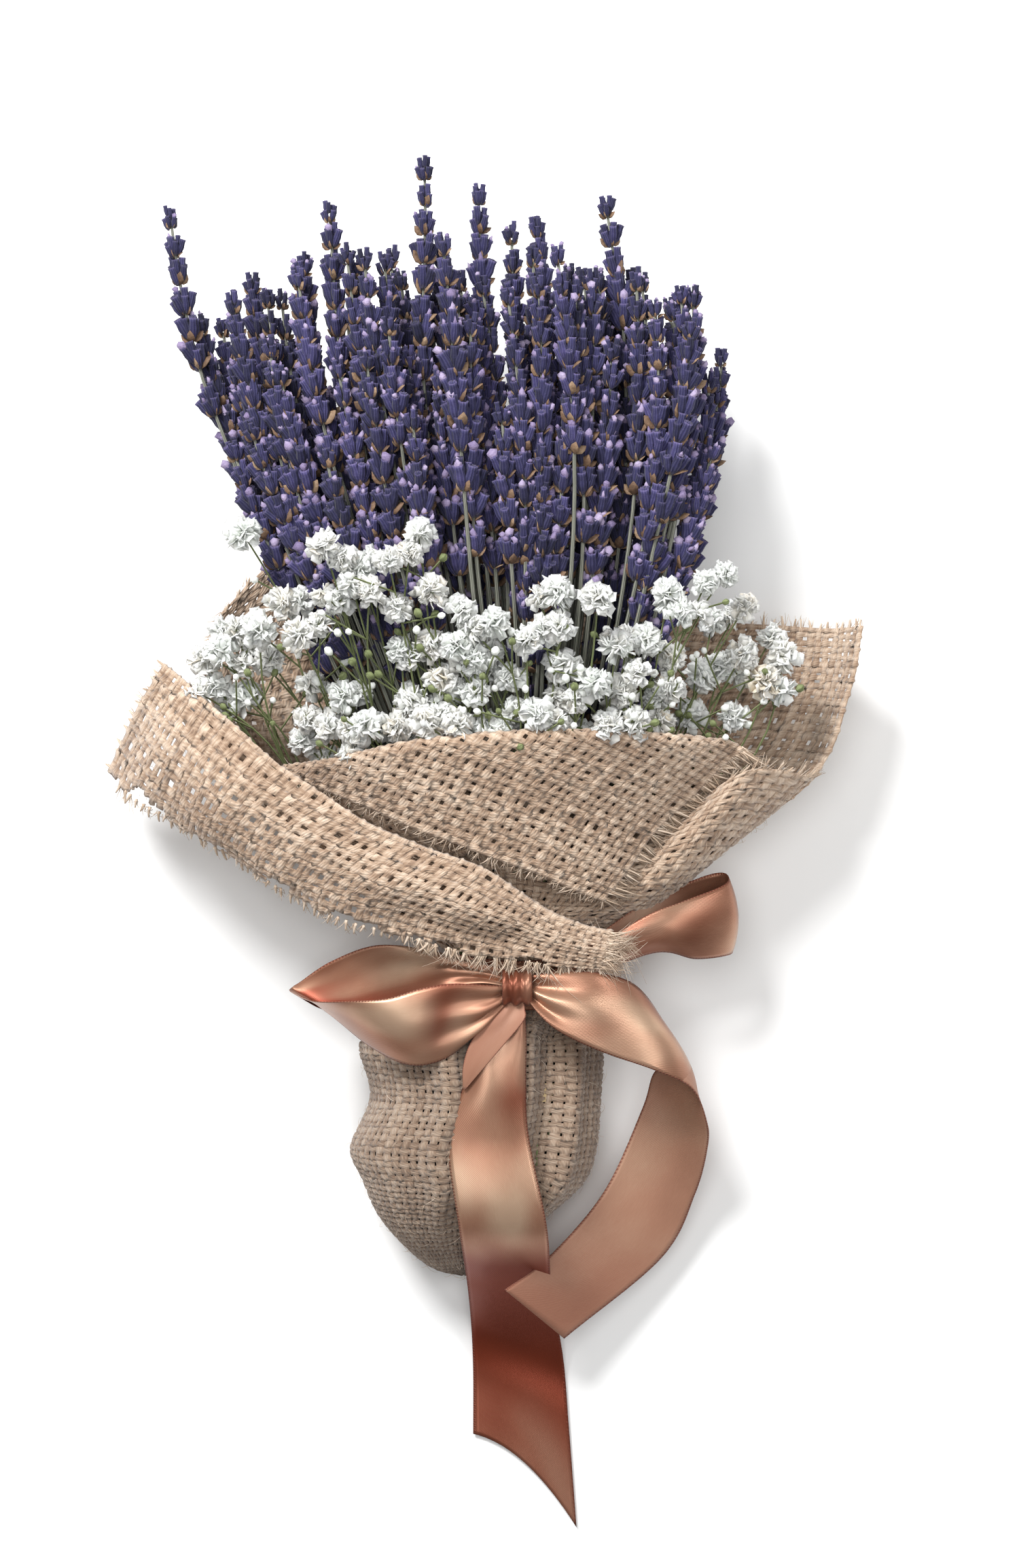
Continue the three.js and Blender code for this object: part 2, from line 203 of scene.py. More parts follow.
def tube(path, radii, sides, pile, tone, slot, ribs=0.0):
    """A round stem along a path, closed at both ends and mapped along its length in mm."""
    path = np.asarray(path, float)
    tangent = unit(np.gradient(path, axis=0))
    side = unit(np.cross(tangent, [0, 0, 1.0]) + np.array([1e-4, 0, 0]))
    up = np.cross(side, tangent)
    angles = TAU * np.arange(sides) / sides
    grow = 1 + ribs * np.cos(angles * sides / 2)
    radii = np.asarray(radii, float)[:, None]
    rings = (
        path[:, None, :]
        + (radii * grow * np.cos(angles))[..., None] * side[:, None, :]
        + (radii * grow * np.sin(angles))[..., None] * up[:, None, :]
    )
    steps = len(path)
    length = run_length(path)
    faces, uvs = [], []
    for i in range(steps - 1):
        for j in range(sides):
            k = (j + 1) % sides
            faces.append((i * sides + j, i * sides + k, (i + 1) * sides + k, (i + 1) * sides + j))
            a, b = j / sides, (j + 1) / sides
            uvs += [(a, length[i]), (b, length[i]), (b, length[i + 1]), (a, length[i + 1])]
    for ring, order in ((0, -1), (steps - 1, 1)):
        faces.append(tuple(ring * sides + j for j in range(sides))[::order])
        uvs += [(0.5, length[ring])] * sides
    pile.gather(rings.reshape(-1, 3), faces, np.array(uvs), tone, slot)


# ---------------------------------------------------------------- finishes


class Value:
    """A socket that Python's operators can work on, adding Math nodes."""

    def __init__(self, finish, socket):
        self.finish, self.socket = finish, socket

    def _math(self, operation, *values):
        return self.finish.node("ShaderNodeMath", {"operation": operation}, *values)

    def __add__(self, other):
        return self._math("ADD", self, other)

    def __sub__(self, other):
        return self._math("SUBTRACT", self, other)

    def __rsub__(self, other):
        return self._math("SUBTRACT", other, self)

    def __mul__(self, other):
        return self._math("MULTIPLY", self, other)

    def __mod__(self, other):
        return self._math("FLOORED_MODULO", self, other)

    __radd__, __rmul__ = __add__, __mul__

    def floor(self):
        return self._math("FLOOR", self)

    def sine(self):
        return self._math("SINE", self)

    def clamped(self):
        return self._math("MINIMUM", self._math("MAXIMUM", self, 0.0), 1.0)

    def distance(self, other):
        return self._math("ABSOLUTE", self - other)


class Finish:
    """One material, built from nodes."""

    def __init__(self, name):
        self.material = bpy.data.materials.new(name)
        self.material.use_nodes = True
        self.tree = self.material.node_tree
        self.shader = self.tree.nodes["Principled BSDF"]

    def node(self, kind, settings=None, *values, out=0, **named):
        made = self.tree.nodes.new(kind)
        for key, value in (settings or {}).items():
            if key == "stops":
                while len(made.color_ramp.elements) < len(value):
                    made.color_ramp.elements.new(0.5)
                for stop, (place, color) in zip(made.color_ramp.elements, value):
                    stop.position, stop.color = place, (*color, 1)
            else:
                setattr(made, key, value)
        for key, value in [*enumerate(values), *((k.replace("_", " "), v) for k, v in named.items())]:
            self.feed(made.inputs[key], value)
        return Value(self, made.outputs[out])

    def feed(self, socket, value):
        if isinstance(value, Value):
            self.tree.links.new(value.socket, socket)
        elif value is not None:
            socket.default_value = value

    def place(self):
        return self.node("ShaderNodeTexCoord", out="Object")

    def uv(self):
        return self.node("ShaderNodeUVMap", {"uv_map": "UVMap"})

    def layer(self, name):
        return self.node("ShaderNodeAttribute", {"attribute_name": name}, out="Fac")

    def axes(self, vector):
        split = self.node("ShaderNodeSeparateXYZ", None, vector).socket.node
        return [Value(self, split.outputs[i]) for i in range(3)]

    def vector(self, x, y, z=0.0):
        return self.node("ShaderNodeCombineXYZ", None, x, y, z)

    def noise(self, vector, scale, detail=3.0, roughness=0.55):
        return self.node(
            "ShaderNodeTexNoise", None, out="Fac",
            Vector=vector, Scale=scale, Detail=detail, Roughness=roughness,
        )

    def hashed(self, value):
        return self.node("ShaderNodeTexWhiteNoise", {"noise_dimensions": "1D"}, out="Value", W=value)

    def ramp(self, value, *stops):
        return self.node("ShaderNodeValToRGB", {"stops": stops}, value)

    def mix(self, share, a, b, blend="MIX"):
        made = self.tree.nodes.new("ShaderNodeMix")
        made.data_type, made.blend_type = "RGBA", blend
        for socket, value in zip((made.inputs[0], made.inputs[6], made.inputs[7]), (share, a, b)):
            self.feed(socket, (*value, 1) if isinstance(value, tuple) else value)
        return Value(self, made.outputs[2])

    def bump(self, height, distance, strength=1.0):
        return self.node("ShaderNodeBump", None, Height=height, Distance=distance * MM, Strength=strength)

    def surface(self, **sockets):
        for key, value in sockets.items():
            self.feed(self.shader.inputs[key.replace("_", " ")], value)
        return self.material


def calyx_finish():
    f = Finish("lavender_calyx")
    around, up, _ = f.axes(f.uv())
    tone = f.layer("tone")
    ribs = (around * (TAU * 9)).sine() * 0.5 + 0.5
    felt = f.noise(f.place(), 2600.0, 3.0)
    patches = f.noise(f.place(), 420.0, 2.0)
    # The stalk's tone is random, except that stalks deep in the bunch get a low one; a low tone darkens the
    # body as painted shade.
    body = f.ramp(
        (patches * 0.55 + tone * 0.45).clamped(),
        (0.12, (0.004, 0.004, 0.018)),
        (0.4, (0.010, 0.0095, 0.046)),
        (0.65, (0.020, 0.018, 0.080)),
        (0.92, (0.070, 0.056, 0.18)),
    )
    foot = f.mix((1 - up * 4.5).clamped() * 0.75, body, (0.10, 0.09, 0.09))
    # A low tone also dims the pale ribs and the paler mouth, as painted shade on stalks deep in the bunch.
    pale = f.mix((ribs * felt * (tone * 0.44 + 0.12)).clamped(), foot, (0.17, 0.155, 0.32))
    mouth = f.mix(((up - 0.88) * 9.0).clamped() * (tone * 0.6 + 0.2), pale, (0.20, 0.16, 0.33))
    return f.surface(
        Base_Color=mouth,
        Roughness=0.86,
        Sheen_Weight=0.06,
        Sheen_Roughness=0.5,
        Normal=f.bump(ribs * 0.7 + felt * 0.5, 0.22),
    )


def corolla_finish():
    f = Finish("lavender_corolla")
    tone = f.layer("tone")
    crumple = f.noise(f.place(), 1500.0, 4.0)
    color = f.ramp(
        (crumple * 0.6 + tone * 0.4).clamped(),
        (0.2, (0.12, 0.09, 0.19)),
        (0.5, (0.28, 0.22, 0.37)),
        (0.85, (0.46, 0.39, 0.54)),
    )
    return f.surface(Base_Color=color, Roughness=0.8, Normal=f.bump(crumple, 0.25))


def bract_finish():
    f = Finish("lavender_bract")
    veins = f.noise(f.place(), 1300.0, 4.0)
    tone = f.layer("tone")
    color = f.ramp(
        (veins * 0.6 + tone * 0.4).clamped(),
        (0.2, (0.065, 0.036, 0.022)),
        (0.55, (0.20, 0.118, 0.068)),
        (0.9, (0.38, 0.27, 0.17)),
    )
    return f.surface(Base_Color=color, Roughness=0.72, Normal=f.bump(veins, 0.2))


def stem_finish(name, dark, mid, pale, lines):
    f = Finish(name)
    around, along, _ = f.axes(f.uv())
    ribs = (around * (TAU * lines)).sine() * 0.5 + 0.5
    streaks = f.noise(f.vector(around * 14.0, along * 0.09), 1.0, 4.0)
    patches = f.noise(f.place(), 120.0, 2.0)
    tone = (streaks * 0.6 + ribs * 0.2 + patches * 0.2).clamped()
    color = f.ramp(tone, (0.28, dark), (0.5, mid), (0.75, pale))
    return f.surface(Base_Color=color, Roughness=0.75, Normal=f.bump(ribs + streaks * 0.6, 0.12))


def petal_finish():
    f = Finish("babys_breath_petal")
    around, up, _ = f.axes(f.uv())
    tone = f.layer("tone")
    veins = f.noise(f.place(), 1800.0, 3.0)
    white = f.ramp(
        (tone * 0.75 + veins * 0.25).clamped(),
        (0.1, (0.66, 0.55, 0.40)),
        (0.3, (0.78, 0.76, 0.69)),
        (0.6, (0.83, 0.845, 0.81)),
        (0.95, (0.78, 0.825, 0.76)),
    )
    heart = f.mix((0.75 - up * 1.6).clamped() * 0.55, white, (0.55, 0.62, 0.38))
    return f.surface(
        Base_Color=heart,
        Roughness=0.7,
        Subsurface_Weight=0.7,
        Subsurface_Radius=(0.7, 0.7, 0.65),
        Subsurface_Scale=0.0025,
        Normal=f.bump(veins, 0.08),
    )


def burlap_finish(name, tint_and_shade):
    """Jute threads: the map counts threads, and the higher thread at each crossing sets the fibres' run."""
    f = Finish(name)
    u, v, _ = f.axes(f.uv())
    height = f.layer("height")
    over = (u.floor() + v.floor()) % 2.0
    warp = f.noise(f.vector(u * 9.0, v * 0.55, 1.0), 1.0, 5.0, 0.65)
    weft = f.noise(f.vector(u * 0.55, v * 9.0, 7.0), 1.0, 5.0, 0.65)
    fibres = warp * (1 - over) + weft * over
    lean = (u + v * 0.35) * (1 - over) + (v + u * 0.35) * over
    twist = (lean * (TAU * 3.0)).sine() * 0.5 + 0.5
    thread = f.hashed(u.floor() * 1.7 + 3.1) * (1 - over) + f.hashed(v.floor() * 2.3 + 9.7) * over
    wear = f.noise(f.place(), 34.0, 3.0)
    # The height term darkens the low parts of the weave, between the threads, as painted shade.
    tone = (fibres * 0.52 + thread * 0.16 + height * 0.22 + wear * 0.16 + twist * 0.05 - 0.05).clamped()
    color = f.ramp(
        tone,
        (0.24, (0.09, 0.052, 0.030)),
        (0.42, (0.33, 0.225, 0.150)),
        (0.56, (0.55, 0.425, 0.315)),
        (0.72, (0.76, 0.645, 0.52)),
        (0.9, (0.88, 0.80, 0.70)),
    )
    # The last colour is multiplied in: a slight tint on most of the burlap, and an all-over painted shade on
    # the bag.
    tinted = f.mix(1.0, color, tint_and_shade, "MULTIPLY")
    return f.surface(
        Base_Color=tinted,
        Roughness=0.9,
        Sheen_Weight=0.25,
        Sheen_Roughness=0.6,
        Normal=f.bump(fibres * 0.8 + twist * 0.3, 0.28),
    )


def fibre_finish():
    f = Finish("jute_fibre")
    tone = f.layer("tone")
    fleck = f.noise(f.place(), 500.0, 3.0)
    color = f.ramp(
        (tone * 0.65 + fleck * 0.35).clamped(),
        (0.15, (0.25, 0.165, 0.11)),
        (0.5, (0.52, 0.395, 0.29)),
        (0.9, (0.80, 0.68, 0.56)),
    )
    return f.surface(Base_Color=color, Roughness=0.85, Normal=f.bump(fleck, 0.05))


def satin_finish(name, metal, rough, mottle):
    """Satin: a fine twill with a matt serrated selvedge along both edges, darkened by the deep layer as
    painted shade.
    """
    f = Finish(name)
    across, along, _ = f.axes(f.uv())
    deep = f.layer("deep")
    twill = ((across * 25.0 + along) * (TAU * 1.6)).sine() * 0.5 + 0.5
    picks = (along * (TAU * 1.1)).sine() * 0.5 + 0.5
    edge = ((across.distance(0.5) - 0.472) * 60.0).clamped()
    cloud = f.noise(f.vector(across * 1.1, along * 0.032), 1.0, 1.5)
    slub = f.noise(f.vector(across * 90.0, along * 0.35), 1.0, 3.0)
    color = f.ramp(
        ((cloud - 0.5) * mottle + slub * 0.08 + 0.47).clamped(),
        (0.34, (0.19, 0.07, 0.038)),
        (0.5, (0.37, 0.185, 0.116)),
        (0.68, (0.54, 0.36, 0.245)),
    )
    # Painted shade: where the deep layer is high, the colour goes to a dark red-brown.
    with_painted_shade = f.mix(deep.clamped(), color, (0.18, 0.030, 0.011))
    bound = f.mix(edge * (0.35 + picks * 0.55), with_painted_shade, (0.15, 0.035, 0.02))
    return f.surface(
        Base_Color=bound,
        Metallic=metal,
        Roughness=edge * 0.25 + slub * 0.06 + rough,
        Sheen_Weight=0.06,
        Sheen_Roughness=0.35,
        Normal=f.bump(twill * 0.5 + slub * 0.06 + edge * picks * 2.0, 0.05),
    )


def plain_floor_finish():
    f = Finish("pale_floor")
    haze = f.noise(f.place(), 3.0, 2.0)
    return f.surface(Base_Color=f.mix(haze, (0.90, 0.90, 0.895), (0.93, 0.93, 0.925)), Roughness=0.9)


# ---------------------------------------------------------------- the room round the stems

# The oval that the lavender stems fill at each height, and what the cloth and sprigs are lifted from.
STEMS_R = 12.25
HEADS_HALF_WIDTH = 75
HEADS_TOP = 80
FAN_LENGTH = 190
LEAN = 0.09


def smooth(x, low, high):
    t = np.clip((np.asarray(x, float) - low) / (high - low), 0, 1)
    return t * t * (3 - 2 * t)


def bump(x, middle, spread):
    return np.exp(-(((x - middle) / spread) ** 2))


def oval(y):
    spread = np.sin(TAU / 4 * np.clip(np.asarray(y, float) / FAN_LENGTH, 0, 1)) ** 1.3
    low = AXIS_Z - STEMS_R
    bottom = low + (9.4 - low) * smooth(y, 0, 50) + (4.0 - 9.4) * smooth(y, 112, 150)
    top = AXIS_Z + STEMS_R + (HEADS_TOP - AXIS_Z - STEMS_R) * spread
    middle = -LEAN * np.maximum(y, 0)
    return middle, (top + bottom) / 2, STEMS_R + (HEADS_HALF_WIDTH - STEMS_R) * spread, (top - bottom) / 2


def before(x, y, lift):
    """Points in front of the stems, lifted clear of them."""
    middle, z, half_width, half_depth = oval(y)
    across = np.clip((np.asarray(x, float) - middle) / (half_width + lift), -1, 1)
    height = z + half_depth * np.sqrt(1 - across**2) + lift
    return np.stack(np.broadcast_arrays(x, y, height), -1)


# ---------------------------------------------------------------- burlap

PITCH = 2.5  # from thread to thread
THREAD_HALF = 0.405  # half a thread's width, as a share of the pitch
RISE = 0.5  # how far a thread stands out where it crosses over
BODY = 0.22  # half the cloth's thickness between crossings
HAIR = 4.0  # a loose hair's length, before its own share
HAIR_LIFT = 0.9
FIBRE_STEPS = np.linspace(0, 1, 5)[:, None]  # the points along a fibre, as shares of its length


def net_surface(rows):
    """A smooth surface through rows of points."""
    rows = np.asarray(rows, float)

    def surface(u, v):
        wide = spline(rows.transpose(1, 0, 2), u * (rows.shape[1] - 1))
        return spline(wide.transpose(1, 0, 2), v * (rows.shape[0] - 1))

    return surface


class Cloth:
    """Burlap laid over a net of points, thread by thread, with a hole between every four crossings."""

    def __init__(self, surface, pitch=PITCH, folds=None, wander=0.13, closed=False):
        self.surface = surface if callable(surface) else net_surface(surface)
        rough = self.sample(np.linspace(0, 1, 121), np.linspace(0, 1, 61), even=False)
        self.across = self.lengths(rough, 1)
        self.along = self.lengths(rough, 0)
        self.threads_u = int(round(self.across[-1] / pitch))
        self.threads_v = int(round(self.along[-1] / pitch))
        if closed:
            self.threads_u += self.threads_u % 2
        self.u, self.v = self.lines(self.threads_u), self.lines(self.threads_v)
        grid_u, grid_v = np.meshgrid(self.u, self.v)
        du = wander * self.drift(grid_u, grid_v, 0.31, 0.0) * (0 if closed else 1)
        dv = wander * self.drift(grid_v, grid_u, 0.27, 5.0)
        self.share_u = np.clip((grid_u + du) / self.threads_u, 0, 1)
        self.share_v = np.clip((grid_v + dv) / self.threads_v, 0, 1)
        flat = self.sample(self.u / self.threads_u, self.v / self.threads_v)
        slope_u, slope_v = np.gradient(flat, axis=1), np.gradient(flat, axis=0)
        step_u, step_v = np.gradient(self.u), np.gradient(self.v)
        points = flat + du[..., None] * slope_u / step_u[None, :, None]
        points = points + dv[..., None] * slope_v / step_v[:, None, None]
        normals = unit(np.cross(np.gradient(points, axis=1), np.gradient(points, axis=0)))
        if folds is not None:
            points = points + folds(self.share_u, self.share_v)[..., None] * normals
            normals = unit(np.cross(np.gradient(points, axis=1), np.gradient(points, axis=0)))
        self.points, self.normals = points, normals

    def lengths(self, grid, axis):
        steps = np.linalg.norm(np.diff(grid, axis=axis), axis=-1).mean(axis=1 - axis)
        return np.concatenate([[0], np.cumsum(steps)])

    def lines(self, threads):
        centres = np.arange(threads) + 0.5
        halves = THREAD_HALF * rng.uniform(0.82, 1.14, threads)
        return np.stack([centres - halves, centres, centres + halves], 1).ravel()

    def drift(self, thread, along, pace, shift):
        """How far each thread wanders from its straight line, in pitches."""
        own = np.floor(thread) * 2.399 + shift
        return np.sin(along * pace + own) + 0.6 * np.sin(along * pace * 2.3 + 1.7 * own)

    def sample(self, u, v, even=True):
        """The surface at shares of its width and length."""
        if even:
            u = np.interp(np.asarray(u) * self.across[-1], self.across, np.linspace(0, 1, 121))
            v = np.interp(np.asarray(v) * self.along[-1], self.along, np.linspace(0, 1, 61))
        return self.surface(np.asarray(u), np.asarray(v))

    def piece(self, name, material, keep=None):
        rows, columns = len(self.v), len(self.u)
        i, j = np.meshgrid(np.arange(rows), np.arange(columns), indexing="ij")
        over = (i // 3 + j // 3) % 2 == 0  # the thread that runs along v is on top
        centre_u, centre_v = j % 3 == 1, i % 3 == 1
        crest = np.where(centre_u & centre_v, RISE, 0.0)
        side = np.where(centre_u ^ centre_v, 1.0, 0.0)

        def height(warp_up):
            rides = (centre_u & ~centre_v & warp_up) | (centre_v & ~centre_u & ~warp_up)
            return BODY + crest + np.where(side > 0, np.where(rides, 0.72 * RISE, -0.02), -0.1)

        upper, lower = height(over), height(~over)
        top = self.points + upper[..., None] * self.normals
        bottom = self.points - lower[..., None] * self.normals
        solid = ~((i % 3 == 2) & (j % 3 == 2))[:-1, :-1]
        if keep is not None:
            solid &= keep(self.share_u, self.share_v, self.points)[:-1, :-1]
        corner = (i * columns + j)[:-1, :-1][solid]
        quads = np.stack([corner, corner + 1, corner + columns + 1, corner + columns], 1)
        count = rows * columns
        edges = np.concatenate([quads[:, [k, (k + 1) % 4]] for k in range(4)])
        keys = edges[:, 0] * count + edges[:, 1]
        open_edges = edges[~np.isin(keys, edges[:, 1] * count + edges[:, 0])]
        a, b = open_edges[:, 0], open_edges[:, 1]
        faces = np.concatenate(
            [quads, quads[:, ::-1] + count, np.stack([b, a, a + count, b + count], 1)]
        )
        grid_u, grid_v = np.meshgrid(self.u, self.v)
        places = np.stack([grid_u, grid_v], -1).reshape(-1, 2)
        places = np.concatenate([places, places])
        points = np.concatenate([top.reshape(-1, 3), bottom.reshape(-1, 3)])
        # These heights also darken the weave's low parts in the burlap finish, as painted shade.
        heights = np.concatenate([upper.ravel(), lower.ravel()]) / (BODY + RISE)
        used = np.unique(faces)
        renumber = np.zeros(len(points), int)
        renumber[used] = np.arange(len(used))
        return mesh_object(
            name,
            points[used],
            renumber[faces],
            [material],
            uvs=places[faces.ravel()],
            layers={"height": heights[used]},
        )

    def edge(self, side, first=0.0, last=1.0):
        """Thread ends along one edge, the way each thread points out of the cloth, and the cloth's normal."""
        lines = {
            "left": (self.points[1::3, 0], self.points[1::3, 2]),
            "right": (self.points[1::3, -1], self.points[1::3, -3]),
            "low": (self.points[0, 1::3], self.points[2, 1::3]),
            "high": (self.points[-1, 1::3], self.points[-3, 1::3]),
        }
        normals = {
            "left": self.normals[1::3, 0],
            "right": self.normals[1::3, -1],
            "low": self.normals[0, 1::3],
            "high": self.normals[-1, 1::3],
        }
        ends, inner = lines[side]
        share = np.linspace(0, 1, len(ends))
        kept = (share >= first) & (share <= last)
        return ends[kept], unit(ends - inner)[kept], normals[side][kept]


def fringe(pile, edge, length, curl, fibres=7, thick=0.15, core=2.6, fan=0.22):
    """Loose fibres at the ends of the threads along a frayed edge, and the frayed end of each thread.

    core is the thread's own thickness in fibres, and fan is how far the fibres spread."""
    for end, out, normal in zip(*edge):
        side = np.cross(out, normal)
        reach = length * rng.uniform(0.55, 1.25)
        lean = rng.normal(0, 0.16)
        t = FIBRE_STEPS
        droop = unit(out + lean * side - 0.15 * normal)
        hang = droop * (0.62 * reach + 1.2) * t
        thread = end - 1.2 * out + hang + side * (curl * reach * 0.2 * rng.normal()) * t**2
        tube(thread, thick * core * (1 - 0.55 * t[:, 0] ** 2), 6, pile, rng.uniform(0.3, 0.9), 0, ribs=0.12)
        for _ in range(fibres):
            spread = rng.normal(0, fan, 2)
            way = unit(out + (lean + spread[0]) * side + (0.1 + 0.6 * spread[1]) * normal)
            bend = rng.normal(0, curl, 2)
            own = reach * rng.uniform(0.5, 1.15)
            start = end - 0.8 * out + 0.42 * rng.normal(0, 1) * side + 0.2 * rng.normal(0, 1) * normal
            sway = (bend[0] * side + bend[1] * 0.6 * normal) * own * 0.35
            path = start + way * own * t + sway * t**2
            tube(path, thick * (1 - 0.7 * t[:, 0]), 3, pile, rng.uniform(0.15, 1.0), 0)


def fuzz(pile, cloth, count):
    """Fine hairs that stand off the face of the cloth."""
    rows, columns = cloth.points.shape[:2]
    for _ in range(count):
        i, j = rng.integers(2, rows - 2), rng.integers(2, columns - 2)
        start, normal = cloth.points[i, j], cloth.normals[i, j]
        along = unit(cloth.points[i + 1, j] - cloth.points[i - 1, j])
        side = np.cross(along, normal)
        turn = rng.uniform(0, TAU)
        way = math.cos(turn) * along + math.sin(turn) * side
        own = HAIR * rng.uniform(0.4, 1.3)
        t = FIBRE_STEPS
        lift = HAIR_LIFT * rng.uniform(0.3, 1.2)
        arch = np.sin(t * TAU / 2 * rng.uniform(0.5, 1.0))
        bend = rng.normal(0, 0.5) * np.cross(way, normal)
        path = start + 0.5 * normal + way * own * t + normal * lift * arch * 1.4 + bend * own * 0.4 * t**2
        tube(path, 0.055 * (1.1 - 0.7 * t[:, 0]), 3, pile, rng.uniform(0.4, 1.0), 0)


def ring_row(y, radius_x, radius_z, x, z, angles):
    a = np.radians(angles)
    height = np.maximum(z + radius_z * np.sin(a), 0.9)
    return np.stack([x + radius_x * np.cos(a), np.full_like(a, y), height], 1)


# ---------------------------------------------------------------- small shapes to copy


def square_to(way, hint=(0.2, 0.3, 1.0)):
    """A direction, and two more square to it."""
    way = unit(np.asarray(way, float))
    side = unit(np.cross(way, hint))
    return way, side, np.cross(way, side)


def turned(points, at, way, roll, grow):
    """Points whose z axis is turned to point along way, then moved to at."""
    way, side, front = square_to(way, [0.31, 0.52, 0.79])
    c, s = math.cos(roll), math.sin(roll)
    axes = np.stack([c * side + s * front, c * front - s * side, way])
    return (points * grow) @ axes + at


def leaf(rings, flat, bend, ripple=0.0, notch=0.0):
    """A thin closed petal or bract, modelled upright and bent back."""
    shape = Shape(lofted(6, rings))
    height = rings[-1][0]
    shape.wrap_map(height)
    x, y, z = shape.points.T
    share = z / height
    y = y * flat + bend * share**2 + ripple * share * np.sin(3.4 * x)
    z = z - notch * share**4 * np.cos(x * 4.5)
    shape.points = np.stack([x, y, z], 1)
    return shape


def crumpled(radius, roughness):
    """A small crumpled lump, for a shrivelled corolla."""
    deselect()
    bpy.ops.mesh.primitive_ico_sphere_add(subdivisions=1, radius=radius * MM)
    shape = Shape(bpy.context.object)
    shape.points *= 1 + roughness * rng.normal(0, 1, (len(shape.points), 1))
    shape.points[:, 2] *= 1.25
    return shape.wrap_map(radius)


CALYX_RINGS = [(0, 0.45), (1.3, 1.1), (3.2, 1.4), (5.0, 1.15), (6.1, 1.3), (5.3, 0.6)]
calyx = Shape(lofted(6, CALYX_RINGS)).wrap_map(6.3)
bract = leaf([(0, 0.6), (1.5, 1.9), (3.3, 1.6), (4.8, 0.2)], 0.2, 1.3)
corollas = [crumpled(1.25, 0.3) for _ in range(4)]
petals = [
    leaf([(0, 0.3), (1.7, 1.0), (3.1, 1.45), (3.7, 1.1)], 0.11, bend, ripple, 0.35)
    for bend, ripple in ((0.4, 0.35), (1.0, 0.5), (1.7, -0.5))
]
sepal = leaf([(0, 0.3), (0.9, 0.55), (1.9, 0.15)], 0.35, 0.35)
bud = Shape(lofted(6, [(0, 0.3), (0.7, 0.95), (1.7, 1.05), (2.5, 0.4)])).wrap_map(2.5)

CALYX, COROLLA, BRACT, STEM = range(4)
CALYX_LENGTH = 6.4
lavender_finishes = [
    calyx_finish(),
    corolla_finish(),
    bract_finish(),
    stem_finish("lavender_stem", (0.085, 0.09, 0.07), (0.20, 0.205, 0.165), (0.36, 0.36, 0.30), 7.0),
]


# ---------------------------------------------------------------- lavender


def centreline(name):
    """A CAD stalk's middle, height by height."""
    mesh = frame["nodes"][name].data
    points = millimetres([v.co for v in mesh.vertices])
    heights = np.unique(points[:, 1].round(2))
    middles = [points[np.abs(points[:, 1] - y) < 0.02][:, [0, 2]].mean(0) for y in heights]
    return heights, np.array(middles)


def whorl(pile, at, way, size, opened, tone):
    """A ring of calyces round the stem, with bracts under it and a few shrivelled corollas."""
    way, side, front = square_to(way)
    spin = rng.uniform(0, TAU)
    for count, tilt, lift in ((rng.integers(4, 7), 0.36, 0.0), (3, 0.14, 1.6)):
        for k in range(count):
            turn = spin + TAU * k / count + rng.normal(0, 0.12) + lift
            lean = tilt * rng.uniform(0.55, 1.4)
            out = math.cos(turn) * side + math.sin(turn) * front
            aim = math.cos(lean) * way + math.sin(lean) * out
            start = at + 0.8 * out + (lift + rng.normal(0, 0.5)) * way
            grow = size * rng.uniform(0.85, 1.12)
            roll = rng.uniform(0, TAU)
            own_tone = np.clip(tone + rng.normal(0, 0.22), 0, 1)
            pile.add(calyx, start, aim, roll, grow, own_tone, CALYX)
            if rng.random() < opened:
                lump = corollas[rng.integers(4)]
                mouth = start + aim * CALYX_LENGTH * grow
                roll, share = rng.uniform(0, TAU), rng.uniform(0.6, 1.15)
                pile.add(lump, mouth, aim, roll, grow * share, rng.random(), COROLLA)
    for k in range(4):
        turn = spin + TAU * (k / 4 + 0.13)
        out = math.cos(turn) * side + math.sin(turn) * front
        aim = way + rng.uniform(0.6, 1.3) * out
        roll, grow = rng.uniform(-0.4, 0.4) + turn, size * rng.uniform(0.5, 0.95)
        pile.add(bract, at + 0.6 * out - 0.4 * way, aim, roll, grow, rng.random(), BRACT)


def stalk(name, heights, middles, tip, whorls, opened, tone, foot=-60.0):
    """One stalk: a ribbed stem with its spike of whorls."""
    pile = Pile()
    own, lean = rng.uniform(0, TAU), rng.normal(0, 2.6)

    def at(y):
        x, z = (np.interp(y, heights, middles[:, k]) for k in range(2))
        loose = smooth(y, 30, 110)
        sway = (0.9 * np.sin(np.asarray(y) * 0.035 + own) + lean * smooth(y, tip - 70, tip + 10)) * loose
        return np.stack([x + sway, np.asarray(y, float) + 0 * x, z], -1)

    y = np.linspace(foot, tip - 4, 26)
    tube(at(y), np.interp(y, [foot, 60, tip], [0.76, 0.68, 0.38]), 6, pile, rng.random(), STEM, ribs=0.08)
    y = tip - 5.0
    size = rng.uniform(0.84, 1.0)
    for k in range(whorls):
        way = at(y + 2.0) - at(y - 2.0)
        share = k / max(whorls - 1, 1)
        grow = size * (0.62 + 0.42 * min(1.0, share * 2.2))
        whorl(pile, at(y), way, grow, opened * (0.5 + share), tone)
        gap = rng.uniform(6.2, 8.2) if k < whorls - 2 else rng.uniform(8, 15)
        y -= gap
    return pile.piece(name, lavender_finishes)


cad_stalks = {n: centreline(n) for n in frame["nodes"] if n.startswith("lavender_")}
for name, (heights, middles) in sorted(cad_stalks.items(), key=lambda item: int(item[0].rsplit("_", 1)[1])):
    tip = heights[-1] - 3
    whorls, tone = 6 + rng.integers(0, 3), rng.uniform(0.3, 0.75)
    piece = stalk("spike_" + name.rsplit("_", 1)[1], heights, middles, tip, whorls, 0.16, tone)
    settle(piece, "lavender", name)

